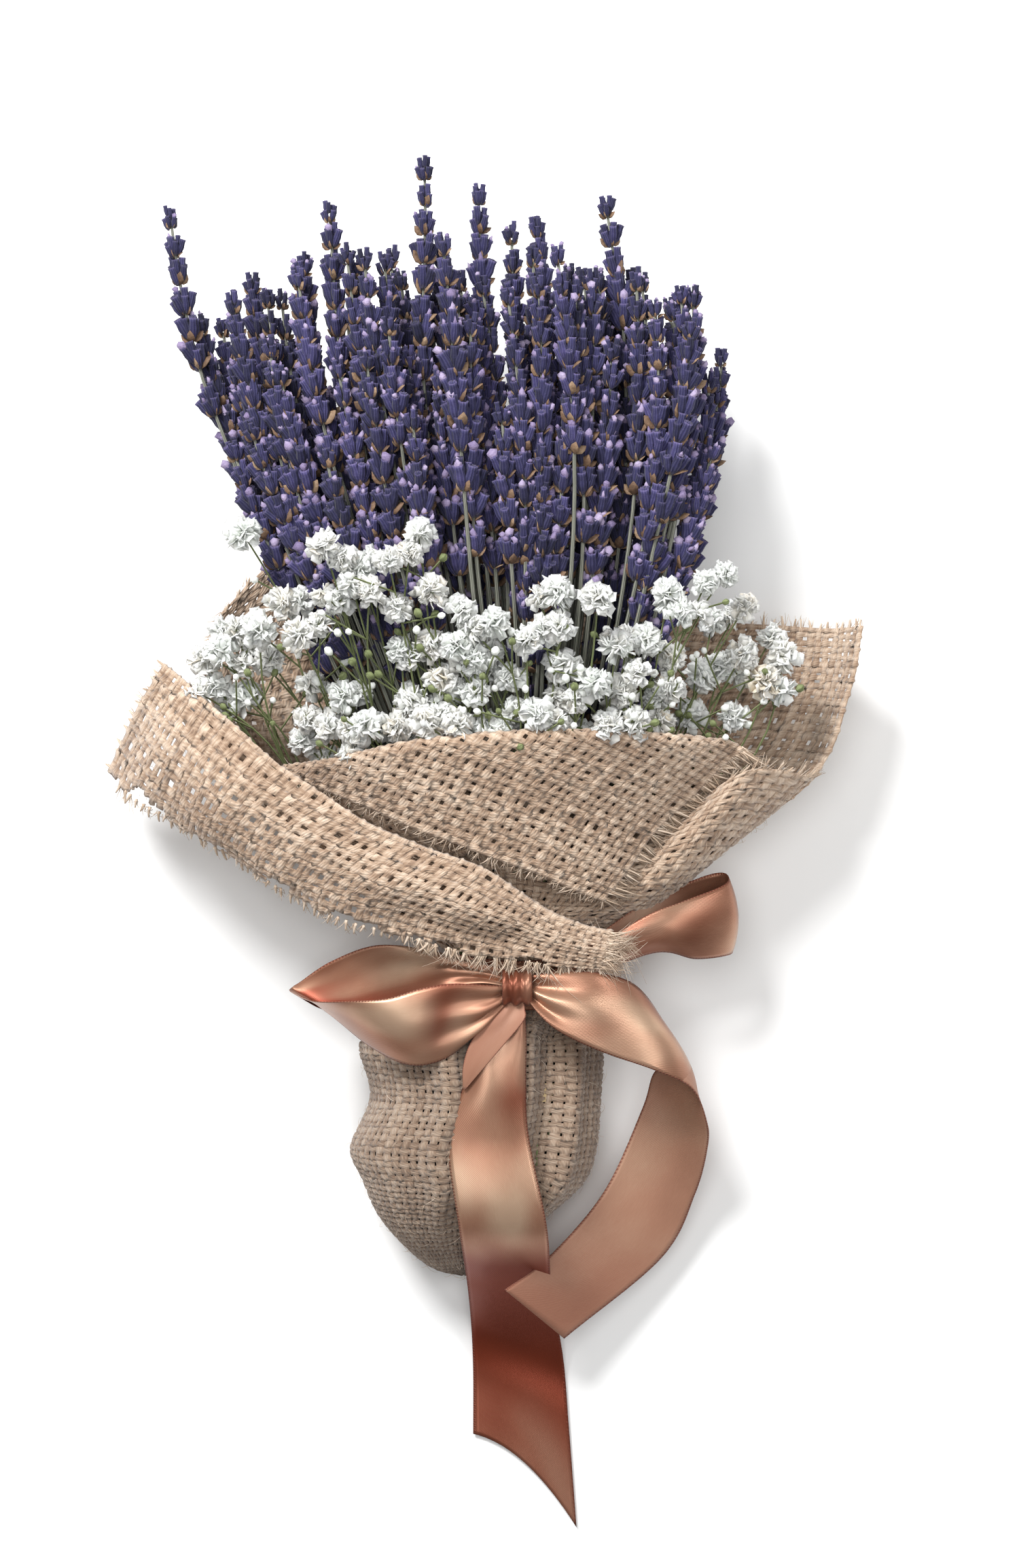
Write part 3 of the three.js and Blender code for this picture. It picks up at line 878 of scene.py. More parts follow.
EXTRA_STALKS = 104
for k in range(EXTRA_STALKS):
    across = -0.94 + 1.86 * ((k * 0.6180339 + 0.13) % 1.0)
    room = math.sqrt(1 - across**2)
    up = room * rng.uniform(-0.35, 0.96)
    tip = 124 + 76 * rng.random() ** 0.6 - 16 * max(0.0, abs(across) - 0.55) / 0.4
    y = np.linspace(-60, tip, 40)
    middle, z, half_width, half_depth = oval(y)
    middles = np.stack([middle + half_width * across, z + half_depth * up * 0.97], 1)
    opened = rng.choice([0.15, 0.4, 0.9], p=[0.4, 0.35, 0.25])
    # Stalks deep in the bunch get a low tone, which paints their calyces darker as shade.
    tone = rng.uniform(0.3, 0.9) if up > 0.45 * room else rng.uniform(0.0, 0.3)
    piece = stalk(f"spike_{35 + k}", y, middles, tip, 6 + rng.integers(0, 5), opened, tone)
    settle(piece, "lavender")


# ---------------------------------------------------------------- baby's breath

PETAL, GREEN = range(2)
PETALS = 58  # to a blossom
GOLDEN = TAU * 0.381966  # the turn from one petal to the next
TWINS = 0.55  # how many blossoms have a smaller one beside them
breath_finishes = [
    petal_finish(),
    stem_finish("breath_stem", (0.07, 0.085, 0.03), (0.16, 0.19, 0.075), (0.30, 0.34, 0.17), 3.0),
]


def blossom(pile, at, way, size, tone):
    """A double blossom: ruffled petals all round, on a small green cup."""
    way, side, front = square_to(way)
    for k in range(5):
        turn = TAU * k / 5
        out = math.cos(turn) * side + math.sin(turn) * front
        pile.add(sepal, at, way + 0.7 * out, turn, 1.15, rng.random(), GREEN)
    for k in range(PETALS):
        share = (k + 0.5) / PETALS
        tilt = 0.1 + 1.75 * share**0.7 + rng.normal(0, 0.16)
        turn = k * GOLDEN + rng.normal(0, 0.25)
        out = math.cos(turn) * side + math.sin(turn) * front
        aim = math.cos(tilt) * way + math.sin(tilt) * out
        shape = petals[rng.integers(3)]
        grow = size * rng.uniform(0.72, 1.06) * (0.84 + 0.2 * share)
        roll = rng.uniform(0, TAU)
        own_tone = np.clip(tone + rng.normal(0, 0.15), 0, 1)
        pile.add(shape, at + 1.1 * way * (1 - share), aim, roll, grow, own_tone, PETAL)


# Each sprig's blossoms, across and above the tie.
SPRIGS = [
    [(-85, 88), (-80, 90), (-86, 79), (-74, 78), (-69, 96), (-76, 96)],
    [(-73, 121), (-63, 103), (-58, 94), (-67, 88), (-56, 81), (-58, 66), (-53, 60)],
    [(-51, 117), (-47, 103), (-42, 111), (-39, 105), (-51, 70), (-47, 78), (-44, 62)],
    [(-26, 120), (-34, 113), (-32, 101), (-31, 90), (-40, 70), (-32, 70), (-28, 64)],
    [(-23, 105), (-23, 91), (-16, 91), (-15, 100), (-28, 77), (-16, 70), (-21, 64), (-20, 82), (-24, 71)],
    [(-6, 97), (-11, 79), (-1, 74), (5, 73), (-5, 68), (-2, 83), (2, 92), (-13, 88), (-9, 70)],
    [(10, 105), (21, 103), (11, 96), (12, 86), (20, 81), (15, 77), (12, 70)],
    [(26, 91), (34, 93), (31, 71), (41, 80), (41, 89), (24, 70), (38, 71), (27, 79), (32, 84)],
    [(50, 108), (40, 105), (53, 99), (43, 100), (50, 84), (47, 73), (61, 102)],
    [(55, 86), (67, 82), (72, 89), (69, 94), (61, 90), (59, 73)],
]
SPRIG_FEET = np.radians(np.linspace(166, 20, len(SPRIGS)))
SPRIG_R = 14.3


def sprig(order, spots):
    pile = Pile()
    foot_x = SPRIG_R * math.cos(SPRIG_FEET[order])
    fork_x = 0.72 * np.mean([x for x, _ in spots])
    y = np.linspace(-58, 46, 16)
    share = np.clip(y / 46, 0, 1)
    stem = before(foot_x + (fork_x - foot_x) * share**2.0, y, 2.6)
    tube(stem, np.full(16, 0.42), 6, pile, 0.4, GREEN)
    fork = stem[-1]
    for k, (x, top) in enumerate(spots):
        lift = 9.0 + 3.2 * ((k * 2 + order) % 3) - 3.0
        end = before(x, top, lift)
        t = np.linspace(0, 1, 9)[:, None]
        bow = np.array([rng.normal(0, 3.0), rng.normal(0, 2.0), 2.0]) * np.sin(t * TAU / 2)
        path = fork + (end - fork) * t + bow
        tube(path, np.linspace(0.34, 0.25, 9), 5, pile, rng.random(), GREEN)
        upwards = np.array([rng.normal(0, 0.35), rng.normal(0, 0.3), 0.95])
        facing = unit(unit(path[-1] - path[-2]) * 0.55 + upwards)
        dried = (order, k) == (9, 1)
        blossom(pile, path[-1], facing, rng.uniform(1.12, 1.42), 0.08 if dried else rng.uniform(0.35, 0.9))
        if rng.random() < TWINS:
            aside = rng.uniform(3.5, 6.0) * rng.choice([-1, 1])
            beside = path[-1] + np.array([aside, rng.uniform(-3.5, 3.0), -2.5])
            branch = path[6] + (beside - path[6]) * t
            tube(branch, np.full(9, 0.25), 4, pile, rng.random(), GREEN)
            aim = facing + rng.normal(0, 0.35, 3)
            blossom(pile, beside, aim, rng.uniform(0.95, 1.25), rng.uniform(0.35, 0.9))
        for _ in range(2):
            start = path[rng.integers(4, 8)]
            aim = unit(np.array([rng.normal(0, 0.7), rng.uniform(0.2, 1.0), rng.uniform(0.1, 0.7)]))
            reach = rng.uniform(6, 13)
            shoot = start + aim * reach * t + np.array([0, 0, 1.5]) * t**2
            tube(shoot, np.full(9, 0.24), 4, pile, rng.random(), GREEN)
            grow = rng.uniform(0.8, 1.2)
            slot = PETAL if rng.random() < 0.55 else GREEN
            pile.add(bud, shoot[-1], shoot[-1] - shoot[-2], 0, grow, 0.8, slot)
    piece = pile.piece(f"sprig_{order + 1}", breath_finishes)
    settle(piece, "babys_breath", f"babys_breath_{order + 1}")


for order, spots in enumerate(SPRIGS):
    sprig(order, spots)


# ---------------------------------------------------------------- the wrap

tan = burlap_finish("burlap", (0.97, 0.925, 0.90))
# The bag's burlap is the same cloth, darkened all over as painted shade.
shaded_tan = burlap_finish("burlap_painted_shade", (0.56, 0.515, 0.49))
FIBRE = fibre_finish()
NECK_R = 17.2


def dome(x, y, lift):
    """Points on the cloth in front of the stems."""
    middle, z, half_width, half_depth = oval(y)
    across = np.clip((x - middle) / (half_width + 14), -1.25, 1.25)
    return np.stack(np.broadcast_arrays(x, y, z + half_depth * (1 - 0.72 * across**2) + lift), -1)


def collar_row(first, right, left, last):
    """A row of the collar, whose first and last points are lifted off the stems."""
    return [*lifted(first), *right, *left, *lifted(last)]


def lifted(points):
    return [dome(np.float64(x), np.float64(y), lift).tolist() for x, y, lift in points]


def closed_ring(y, radius_x, radius_z, x, z):
    return ring_row(y, radius_x, radius_z, x, z, np.linspace(-90, -450, 17))


def add_cloth(cloth, name, edges, loose, stands_for, keep=None, finish=tan):
    """The cloth, its frayed edges and the loose hairs on its face."""
    piece = cloth.piece(name, finish, keep)
    pile = Pile()
    for edge, length, curl, *more in edges:
        fringe(pile, edge, length, curl, *more)
    fuzz(pile, cloth, loose)
    hairs = pile.piece(name + "_fringe", [FIBRE])
    for part in (piece, hairs):
        settle(part, "burlap", stands_for)


# Below the tie: a bag round the cut ends, gathered under the ribbon and folded shut at the bottom.
def bag_folds(u, v):
    """Folds that run down from the ribbon, and two deep ones in front."""
    turn = -90 - 360 * u
    from_neck = 1 - v
    pleats = np.sin(np.radians(turn * 7)) + 0.5 * np.sin(np.radians(turn * 16 + 40))
    gathers = 1.5 * pleats * np.exp(-((from_neck - 0.12) ** 2) / 0.02)
    ridges = 3.2 * (bump(turn, -296, 7) + bump(turn, -327, 7) + bump(turn, -255, 8))
    ridges = ridges * smooth(from_neck, 0.1, 0.22) * (1 - smooth(from_neck, 0.5, 0.9))
    begun = smooth(from_neck, 0.13, 0.24)
    long_fold = -6.0 * bump(turn, -272, 9) * begun * (1 - smooth(from_neck, 0.35, 0.7))
    right_fold = -2.0 * bump(turn, -311, 8) * begun * (1 - smooth(from_neck, 0.5, 0.85))
    slack = 1.6 * np.sin(np.radians(turn * 3 + 200 * v)) * np.sin(v * 2.8)
    return gathers + ridges + long_fold + right_fold + slack


BAG_RINGS = [  # height along the stems, half width, half depth, and the middle's x and z
    (-82.4, 0.5, 0.4, -15, 14),
    (-80, 8, 6, -15.5, 14.5),
    (-74, 14.5, 12, -16.5, 16.5),
    (-65, 23, 17, -16, 19),
    (-55, 30.5, 20, -13.5, 21),
    (-46, 33.8, 20.5, -13.7, 21.5),
    (-32, 31.6, 20.5, -10.2, 21.5),
    (-19, 33.4, 20.5, -10.8, 21.5),
    (-14, 31, 19.8, -9.5, 21.2),
    (-11, 24, 18.5, -5, 20.8),
    (-8, 17.6, 17.6, 0, 20.8),
    (-4, 17.2, 17.2, 0, 20.8),
    (2, 17.2, 17.2, 0, 20.8),
]
bag = Cloth(
    [closed_ring(*ring) for ring in BAG_RINGS],
    pitch=1.8,
    folds=bag_folds,
    wander=0.1,
    closed=True,
)
add_cloth(bag, "burlap_bag", [], 330, "burlap_wrap", finish=shaded_tan)

# Above the tie: the collar opens out from the neck all round.
neck_turns = [118, 90, 62, 30, 0, -30, -60, -90, -120, -150, -180, -205, -228, -250, -270, -290, -307]


def collar_folds(u, v):
    near = np.exp(-((v - 0.1) ** 2) / 0.03)
    return 1.3 * np.sin(u * TAU * 9) * near + 0.8 * np.sin(u * TAU * 5 + 3 * v) * np.sin(v * 3)


collar = Cloth(
    [
        ring_row(-2, NECK_R, NECK_R, 0, AXIS_Z, neck_turns),
        ring_row(8, NECK_R + 0.3, NECK_R + 0.3, 0, AXIS_Z, neck_turns),
        collar_row(
            [(-10, 17, 4.2), (0, 16, 4.4), (9, 16, 5)],
            [(26, 17, 31), (32, 17, 21), (28, 17, 9), (18, 17, 3), (0, 17, 2.5)],
            [(-18, 18, 2.5), (-29, 18, 8), (-36, 22, 15), (-36, 22, 26), (-30, 20, 36)],
            [(-22, 18, 6), (-12, 15, 6), (-3, 13, 6), (7, 11, 6)],
        ),
        collar_row(
            [(-22, 31, 4.4), (0, 29, 4.8), (22, 27, 6)],
            [(41, 28, 38), (48, 28, 24), (42, 28, 9), (26, 28, 1.2), (0, 28, 0.8)],
            [(-31, 30, 0.8), (-52, 34, 6), (-64, 40, 15), (-65, 42, 29), (-54, 38, 40)],
            [(-39, 31, 8), (-22, 24, 8), (-5, 19, 8), (11, 14, 7)],
        ),
        collar_row(
            [(-34, 43, 4.8), (0, 41, 5.4), (33, 38, 7)],
            [(53, 44, 44), (66, 43, 30), (62, 43, 13), (40, 44, 1.2), (0, 45, 0.8)],
            [(-43, 47, 0.8), (-71, 54, 6), (-83, 60, 17), (-82, 63, 31), (-69, 55, 44)],
            [(-53, 45, 10), (-33, 34, 11), (-9, 25, 11), (10, 17, 10)],
        ),
        collar_row(
            [(-44, 57, 5.2), (0, 56, 6), (44, 50, 8)],
            [(63, 58.5, 47), (81, 57, 33), (79, 58, 14), (55, 62, 1.5), (0, 64, 1)],
            [(-55, 66, 1), (-88, 74, 6), (-101, 82, 20), (-97.5, 85, 35), (-80, 71, 47)],
            [(-65.5, 57.5, 12), (-44.5, 44.5, 13), (-13, 31.5, 13), (8.5, 18.5, 12)],
        ),
    ],
    folds=collar_folds,
)
add_cloth(
    collar,
    "burlap_collar",
    [(collar.edge("high", 0.12, 0.36), 4.5, 0.4)],
    500,
    "burlap_wrap",
)

# The collar's left side is turned down outwards, with a loose lower edge.
RIM = [
    (-98, 86, 38), (-88.5, 78.5, 46), (-78, 69.5, 51), (-65, 58, 55.5), (-45, 45, 57.5), (-29, 37.5, 57),
    (-13, 31.5, 56), (-1, 24.5, 53.5), (8.5, 18.5, 51), (17, 15.5, 49.5), (25, 13.5, 48),
]
OUT = [
    (-104, 78, 35), (-95, 68, 45), (-85, 59, 50), (-73, 49.5, 54), (-54, 38.5, 57), (-37, 31, 58),
    (-20, 24.8, 57.5), (-6, 18.8, 55.5), (6, 14.4, 52.5), (15.5, 11.8, 50.5), (24.5, 10.3, 49),
]
LOW = [
    (-110, 68, 25), (-101, 57, 38), (-90, 48, 44), (-79, 40, 48), (-61, 29.5, 51), (-44, 23.5, 52.5),
    (-27, 18.5, 53), (-12, 13.8, 52.5), (2, 10.5, 51), (13.5, 8.2, 49.6), (24, 6.6, 48),
]
HEM = [
    (-115, 58, 19), (-104, 49.5, 32), (-91.5, 42.5, 38), (-79, 34.5, 42), (-62.5, 24.5, 45.5), (-46, 17, 48),
    (-29, 12, 49.5), (-13.5, 8.2, 50), (1, 6.2, 49.5), (13, 4.8, 48.5), (24, 4.2, 47),
]
INSIDE = np.array(RIM) + (1.2, 1.6, -1.6)


def cuff_folds(u, v):
    broad = 0.9 * np.sin(u * TAU * 2.4 + 1.4 * v + 0.6) * np.sin(np.clip(v, 0, 1) * 2.6)
    return broad + 0.5 * np.sin(u * TAU * 6.1 + 2 * v) * v


cuff = Cloth([INSIDE, RIM, OUT, LOW, HEM], folds=cuff_folds, wander=0.17)


def unravelled(u, v, points):
    """Threads missing where the lower edge has come loose."""
    ragged = 0.93 + 0.05 * np.sin(u * 41) + 0.03 * np.sin(u * 97 + 1)
    return v < ragged


add_cloth(
    cuff,
    "burlap_cuff",
    [
        (cuff.edge("left"), 3.0, 0.25),
        (cuff.edge("right"), 8.5, 1.3, 24, 0.12, 1.8, 0.16),
        (cuff.edge("high", 0.04, 0.8), 3.2, 1.1),
        (cuff.edge("high", 0.7, 1.0), 6.5, 1.3, 24, 0.12, 1.8, 0.16),
    ],
    900,
    "burlap_wrap",
    keep=unravelled,
)

# The front flap: a corner of burlap folded over along its top edge.
CORNER, LEFT, RIGHT = np.array([23.5, 22.5]), np.array([-66.0, 58.0]), np.array([62.0, 64.0])
FOLD_R = 1.5


def flap_surface(u, v):
    s, t = np.meshgrid(u, v)
    plan = CORNER + s[..., None] * (LEFT - CORNER) + t[..., None] * (RIGHT - CORNER)
    run = (RIGHT - LEFT) / np.linalg.norm(RIGHT - LEFT)
    up = np.array([-run[1], run[0]])
    from_fold = (plan - LEFT) @ up
    along = np.clip((plan - LEFT) @ run / np.linalg.norm(RIGHT - LEFT), 0, 1)
    turn = np.clip(from_fold / FOLD_R, 0, TAU / 2)
    past = np.maximum(from_fold - FOLD_R * TAU / 2, 0)
    reach = np.where(from_fold < 0, from_fold, FOLD_R * np.sin(turn) - past)
    sunk = np.where(from_fold < 0, 0, FOLD_R * (1 - np.cos(turn)) + 0.12 * past)
    folded = plan + (reach - from_fold)[..., None] * up
    from_corner = np.linalg.norm(folded - CORNER, axis=-1)
    off_corner = 1 - np.exp(-((from_corner / 16) ** 2))
    bow = 5.4 * np.sin(along * TAU / 2) ** 0.8 * off_corner * smooth(t, 0.0, 0.35)
    folded = folded + bow[..., None] * up
    lift = 12.5 + 4.5 * np.clip(1 + reach / 40, 0, 1) + 1.5 * np.sin(along * 6 + 1)
    surface = dome(folded[..., 0], folded[..., 1], lift)
    surface[..., 2] -= sunk
    return surface


def flap_folds(u, v):
    return 0.7 * np.sin(u * 7 + v * 3) * np.sin(v * 3)


flap = Cloth(flap_surface, folds=flap_folds)
add_cloth(
    flap,
    "burlap_flap",
    [
        (flap.edge("left"), 9.5, 0.3, 30, 0.15, 1.7, 0.12),
        (flap.edge("left", 0.74, 1.0), 13.0, 0.4, 20, 0.15, 1.7, 0.14),
        (flap.edge("low"), 4.0, 1.2, 9, 0.11, 1.0, 0.3),
    ],
    420,
    "burlap_front",
)

# A second sheet of burlap stands up behind the bunch, with a frayed top edge.
back = Cloth(
    [
        [
            (17.5, 8, 22), (15, 8, 12), (9, 8, 6.5), (0, 8, 4.6),
            (-9, 8, 6.5), (-14, 8, 12), (-17, 8, 18), (-17.5, 8, 24),
        ],
        [
            (47, 33, 25), (40, 33, 15), (26, 32, 7), (0, 30, 3.5),
            (-20, 32, 3.5), (-40, 35, 9), (-56, 38, 18), (-58, 39, 27),
        ],
        [
            (80, 54, 29), (69, 56, 16), (50, 57, 6), (16, 58, 3),
            (-20, 60, 3), (-52, 62, 6), (-74, 64, 18), (-79, 66, 28),
        ],
        [
            (91, 78, 31), (82, 79, 18), (62, 80, 7), (20, 80, 3),
            (-20, 82, 3), (-56, 86, 6), (-76, 86, 16), (-86, 88, 25),
        ],
        [
            (95.5, 98, 32), (85, 98.5, 20), (66, 100, 9), (28, 103, 3),
            (-20, 110, 3), (-52, 117, 6), (-67, 117, 16), (-82, 101, 25),
        ],
    ],
    folds=lambda u, v: 1.1 * np.sin(u * TAU * 2.2) * v,
)
add_cloth(
    back,
    "burlap_back_sheet",
    [(back.edge("high"), 3.5, 0.4), (back.edge("right", 0.7, 1.0), 3.0, 0.4)],
    500,
    "burlap_back",
)


# ---------------------------------------------------------------- ribbon

KNOT_Z = AXIS_Z + 20.2 + 3.5
SATIN_THICK = 0.28
SATIN_LOW = 0.35  # the lowest that a strip's middle lies
ACROSS = 18  # points across a strip
NO_REVERSE = 2  # past a strip's end


class Ribbon:
    """Strips of satin lofted between their two edges and joined into one piece."""

    def __init__(self):
        self.points, self.faces, self.uvs, self.slots, self.deep = [], [], [], [], []
        self.count, self.length = 0, 0.0

    def strip(
        self, one, other, steps, pleats, turns,
        raised=True, gather=lambda t: 1 + 0 * t, bow=None,
        reverse=(NO_REVERSE, NO_REVERSE), deep=lambda t, w: 0 * t,
    ):
        """A strip between its edges one and other, counted from the knot's height if raised.

        pleats is how deep the pleats are, turns how many, and gather where along the strip they are. bow
        pushes the strip's middle out, point by point. reverse is where the matt side is up, from share to
        share of the length, and deep is how far the colour is darkened, as painted shade."""
        one, other = np.array(one, float), np.array(other, float)
        if raised:
            one[:, 2] += KNOT_Z
            other[:, 2] += KNOT_Z
        t = np.linspace(0, 1, steps)
        a, b = spline(one, t * (len(one) - 1)), spline(other, t * (len(other) - 1))
        w = np.linspace(0, 1, ACROSS)
        grid = a[:, None] * (1 - w)[None, :, None] + b[:, None] * w[None, :, None]
        if bow is not None:
            out = spline(np.array(bow, float), t * (len(bow) - 1))
            grid = grid + out[:, None] * (4 * w * (1 - w))[None, :, None]
        middle = (a + b) / 2
        length = run_length(middle)
        normal = unit(np.cross(np.gradient(grid, axis=1), np.gradient(grid, axis=0)))
        wave = np.sin(w * TAU * turns + 0.6)[None, :] * pleats * gather(t)[:, None]
        grid = grid + wave[..., None] * normal
        grid[..., 2] = np.maximum(grid[..., 2], SATIN_LOW)
        index = np.arange(steps * ACROSS).reshape(steps, ACROSS) + self.count
        quads = np.stack([index[:-1, :-1], index[:-1, 1:], index[1:, 1:], index[1:, :-1]], -1).reshape(-1, 4)
        uv = np.stack(np.meshgrid(w, self.length + length), -1).reshape(-1, 2)
        self.points.append(grid.reshape(-1, 3))
        self.faces.append(quads)
        self.uvs.append(uv[quads.ravel() - self.count])
        middle_share = np.repeat((t[:-1] + t[1:]) / 2, ACROSS - 1)
        self.slots.append(((middle_share > reverse[0]) & (middle_share < reverse[1])).astype(int))
        self.deep.append(np.broadcast_to(deep(t[:, None], w[None, :]), (steps, ACROSS)).ravel())
        self.count += steps * ACROSS
        self.length += length[-1] + 20

    def piece(self, name, materials):
        made = mesh_object(
            name,
            np.vstack(self.points),
            np.vstack(self.faces),
            materials,
            slots=np.concatenate(self.slots),
            uvs=np.vstack(self.uvs),
            layers={"deep": np.concatenate(self.deep)},
        )
        deselect()
        bpy.context.view_layer.objects.active = made
        made.select_set(True)
        thick = made.modifiers.new("thick", "SOLIDIFY")
        thick.thickness, thick.offset = SATIN_THICK * MM, 0.0
        bpy.ops.object.modifier_apply(modifier="thick")
        return made


ribbon = Ribbon()


def at_knot(t):
    return bump(t, 0, 0.16) + bump(t, 1, 0.16)


# The band round the neck.
turn = np.radians(np.linspace(95, 95 - 362, 14))
band_r = 20.3
band_y = np.full(14, -6.5) + 0.8 * np.sin(3 * turn)
band_low = np.stack([band_r * np.cos(turn), band_y, AXIS_Z + band_r * np.sin(turn)], 1)
band_high = band_low + (0, 13.5, 0)
ribbon.strip(band_low, band_high, 70, pleats=0.7, turns=2.4, raised=False)
# The left loop: out along its back layer to the tip, and back along its front layer.
ribbon.strip(
    [
        [-1, -1, 1], [-10, 0.3, 1], [-20, -2, 0], [-32, -7.5, -7], [-44, -9.0, -10], [-54, -7.0, -11],
        [-60.5, -2.4, -5], [-55, -4.1, 5], [-45, -3.9, 8], [-35, -3.1, 9], [-26, -0.4, 8.5], [-17, 0.9, 7.5],
        [-6, 0.2, 5], [-1, 0, 3],
    ],
    [
        [-1, 3.5, -1], [-10, 6, -3], [-22, 9, -5], [-38, 10.5, -8], [-51, 6, -11], [-60, 0, -13],
        [-61.5, -1.6, -15], [-58, -4, -13], [-50, -9.5, -8], [-40, -17, -3], [-30, -21.5, 1.0],
        [-21, -20.5, 2.2], [-12, -14.5, 2.6], [-3, -4, 2],
    ],
    150, pleats=1.0, turns=2.6, gather=at_knot,
    bow=[
        [0, 0, 0], [0, 0.4, 1], [0, 1, 1], [0, 1, -1], [0, 0, -1], [-1, 0, 0], [-1.5, 0, 0], [-1, 0, 1],
        [0, -0.5, 2.5], [0, -1, 3.5], [0, -1, 2.5], [0, 0, 0.5], [0, 0, 1], [0, 0, 0],
    ],
    # Painted shade on the left loop: dark near the tip inside the back layer, along one edge of the back
    # layer, and in a patch on the front layer near the knot.
    deep=lambda t, w: 0.95 * bump(t, 0.385, 0.07) * smooth(1 - w, 0.22, 0.4)
    + 0.8 * bump(t, 0.28, 0.1) * smooth(1 - w, 0.6, 0.75)
    + 0.75 * bump(t, 0.83, 0.035) * bump(w, 0.4, 0.5),
)
# The right loop lies lower, behind the burlap's end.
ribbon.strip(
    [
        [1, 1, -1], [14, 8, -5], [34, 21.5, -12], [50, 28.5, -18], [57, 30, -18], [57, 27, -13],
        [45, 22.5, -6], [34, 18.2, -3], [14, 6, -1], [1, 2, 1],
    ],
    [
        [1, -1, -2], [14, 1, -7], [34, 8, -15], [50, 8, -24], [58.5, 9, -25], [58.5, 7.5, -17],
        [49, 6.6, -11], [37, 8.4, -7], [14, 0, -3], [1, -1, 0],
    ],
    110, pleats=1.0, turns=2.4, gather=at_knot,
    bow=[
        [0, 0, 0], [0, 0, 1], [0, 0, -2], [0, 0, -2], [1.5, 0, 0], [2, 0, 1], [0, 0, 3], [0, 0, 2.5],
        [0, 0, 1], [0, 0, 0],
    ],
    # Painted shade on the right loop: along one edge past its far end, and across it further back towards the
    # knot.
    deep=lambda t, w: 0.35 * bump(t, 0.62, 0.07) * smooth(1 - w, 0.4, 0.9) + 0.5 * bump(t, 0.8, 0.06),
)
# The tail that runs right, rolls over and comes back over the long one with its matt side up.
ribbon.strip(
    [
        [1, 2, 2], [9, 3.6, 3], [23, 3.2, 2], [33, -1, -3], [41, -13, -11], [41.5, -21, -18],
        [37.5, -26, -21], [34.5, -36, -23], [24, -59, -25], [8.5, -76.5, -20], [-3.5, -84.5, -13],
    ],
    [
        [2, -2.5, 3], [8.5, -10, 5], [15.5, -14.5, 5], [25, -18.7, 4], [37, -23, 1], [47.5, -28.5, -6],
        [52, -38, -14], [52.8, -46, -22], [49.8, -60, -31], [40.5, -78.5, -35], [13, -100, -27],
    ],
    140, pleats=1.1, turns=2.2, gather=lambda t: np.exp(-((t / 0.17) ** 2)),
    bow=[
        [0, 0, 0], [0, 0, 1], [0, 0, 2], [1.5, 1, 1.5], [4, 1, 1], [3.5, 0, -1.5], [0, 0, -2], [0, 0, -1.5],
        [0, 0, -1], [0, 0, -0.5], [0, 0, 0],
    ],
    reverse=(0.47, 2),
    # Painted shade on this tail: a dark band along one edge where it rolls over, and darker towards its end.
    deep=lambda t, w: 0.65 * bump(t, 0.33, 0.09) * smooth(1 - w, 0.55, 0.95) + 0.35 * smooth(t, 0.8, 1.0),
)
# The long tail, and the part of it that is folded over near the knot.
ribbon.strip(
    [
        [1.5, -3, 0.5], [2.2, -14, 0.5], [2.2, -26, 0], [3, -41, -0.5], [8, -66, -3], [9.5, -86, -26],
        [13, -108, -42], [14.5, -126, -43.4], [16.8, -156, -43.6],
    ],
    [
        [-2, -3, 0.5], [-12, -15, 0.5], [-15, -28, 0.3], [-19, -42, -0.5], [-16, -66, -3], [-14, -84, -24],
        [-13, -98, -39], [-12.5, -112, -43.2], [-12.5, -129.5, -43.6],
    ],
    120, pleats=0.9, turns=1.8, gather=lambda t: np.exp(-((t / 0.2) ** 2)),
    bow=[
        [0, 0, 0], [0, 0, 1.5], [0, 0, 2.5], [0, 0, 1.5], [0, 0, 1], [0, 0, 0], [0, 0, -1], [0, 1, 0],
        [0, 5, 0],
    ],
    # Painted shade on the long tail: dark over its lower part, easing a little at the end, a dark band along
    # one edge near the fold, and darker near the knot.
    deep=lambda t, w: smooth(t, 0.515, 0.585) * (1 - 0.35 * smooth(t, 0.82, 1.0))
    + 0.65 * bump(t, 0.29, 0.05) * smooth(1 - w, 0.3, 0.85)
    + 0.3 * (1 - smooth(t, 0.12, 0.28)),
)
ribbon.strip(
    [[-2.5, -3, 1.5], [-8, -9, 3.5], [-12.8, -15.5, 2.6], [-14.8, -22, 2.2], [-14.8, -28, 1.6]],
    [[1.5, -4, 2.2], [2, -6.5, 3.2], [1.6, -9.5, 4.4], [-6, -18.5, 4.2], [-14.2, -28.2, 2.0]],
    40, pleats=0.6, turns=1.6, gather=lambda t: np.exp(-((t / 0.4) ** 2)),
    # Painted shade: the folded part is evenly darker.
    reverse=(-1, 2), deep=lambda t, w: 0.2 + 0 * t * w,
)
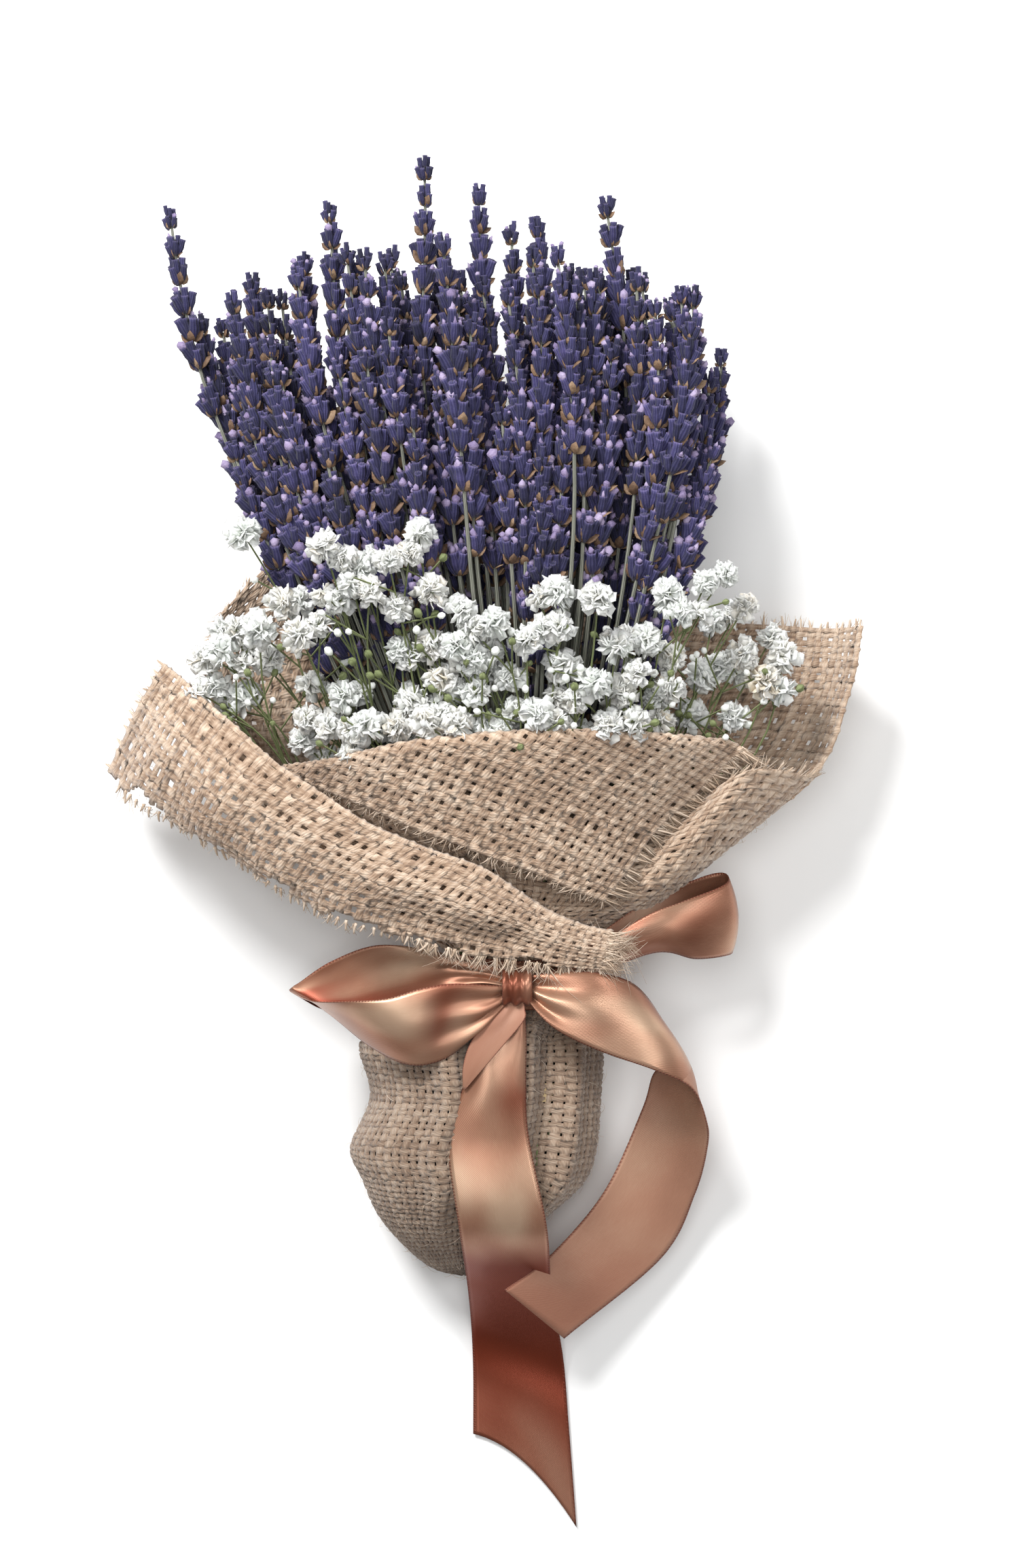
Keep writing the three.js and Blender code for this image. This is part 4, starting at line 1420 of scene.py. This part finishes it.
# The knot: a turn of pleated ribbon, evenly darkened as painted shade.
turn = np.radians(np.linspace(200, -160, 15))
knot_low = np.stack([3.9 + 0 * turn, -0.4 + 4.7 * np.cos(turn), 1.4 + 5.2 * np.sin(turn)], 1)
knot_high = knot_low - (8.0, 0, 0)
ribbon.strip(knot_high, knot_low, 48, pleats=0.45, turns=2.5, deep=lambda t, w: 0.55 + 0 * t * w)
satin_finishes = [
    satin_finish("copper_satin", 0.6, 0.29, 0.85),
    satin_finish("copper_satin_reverse", 0.12, 0.5, 0.25),
]
satin_piece = ribbon.piece("satin_bow", satin_finishes)
settle(satin_piece, "satin", "satin_ribbon")

raffia = stem_finish("raffia", (0.20, 0.13, 0.06), (0.45, 0.33, 0.17), (0.66, 0.53, 0.32), 12.0)
frame["nodes"]["stem_tie"].data.materials.clear()
frame["nodes"]["stem_tie"].data.materials.append(raffia)


# ---------------------------------------------------------------- floor, light and camera

FLOOR_SIZE = 6  # metres
FLOOR_GAP = 0.0004  # metres from the CAD model's lowest point down to the floor
LIT_HEIGHT = 0.03
ROOM_LIGHT = 0.26
CAMERA_PLACE = (-2.2, 54.6, 1040.0)
bpy.ops.mesh.primitive_plane_add(size=FLOOR_SIZE, location=(0, 0, -FLOOR_GAP))
floor = bpy.context.object
floor.name = "floor"
floor.data.materials.append(plain_floor_finish())


def soft_box(name, at, size, power):
    """A round light, in metres and watts, turned to the bunch."""
    lamp = bpy.data.lights.new(name, "AREA")
    lamp.shape, lamp.size, lamp.energy = "DISK", size, power
    box = bpy.data.objects.new(name, lamp)
    bpy.context.collection.objects.link(box)
    box.location = at
    box.rotation_euler = (Vector((0, 0, LIT_HEIGHT)) - Vector(at)).to_track_quat("-Z", "Y").to_euler()


bpy.context.scene.view_settings.view_transform = "Standard"
for light in (
    ("key", (-0.45, 0.85, 0.95), 0.42, 22.0),
    ("fill", (0.95, 0.25, 0.9), 0.5, 5.0),
    ("over", (-0.1, 0.15, 1.6), 0.9, 10.0),
):
    soft_box(*light)
world = bpy.context.scene.world or bpy.data.worlds.new("room")
bpy.context.scene.world = world
world.use_nodes = True
backdrop = world.node_tree.nodes["Background"]
backdrop.inputs["Color"].default_value = (1.0, 1.0, 1.0, 1.0)
backdrop.inputs["Strength"].default_value = ROOM_LIGHT

camera_data = bpy.data.cameras.new("camera")
camera_data.sensor_fit, camera_data.sensor_height, camera_data.lens = "VERTICAL", 36.0, 84.2
camera = bpy.data.objects.new("camera", camera_data)
bpy.context.collection.objects.link(camera)
camera.location = metres(CAMERA_PLACE)
bpy.context.scene.camera = camera
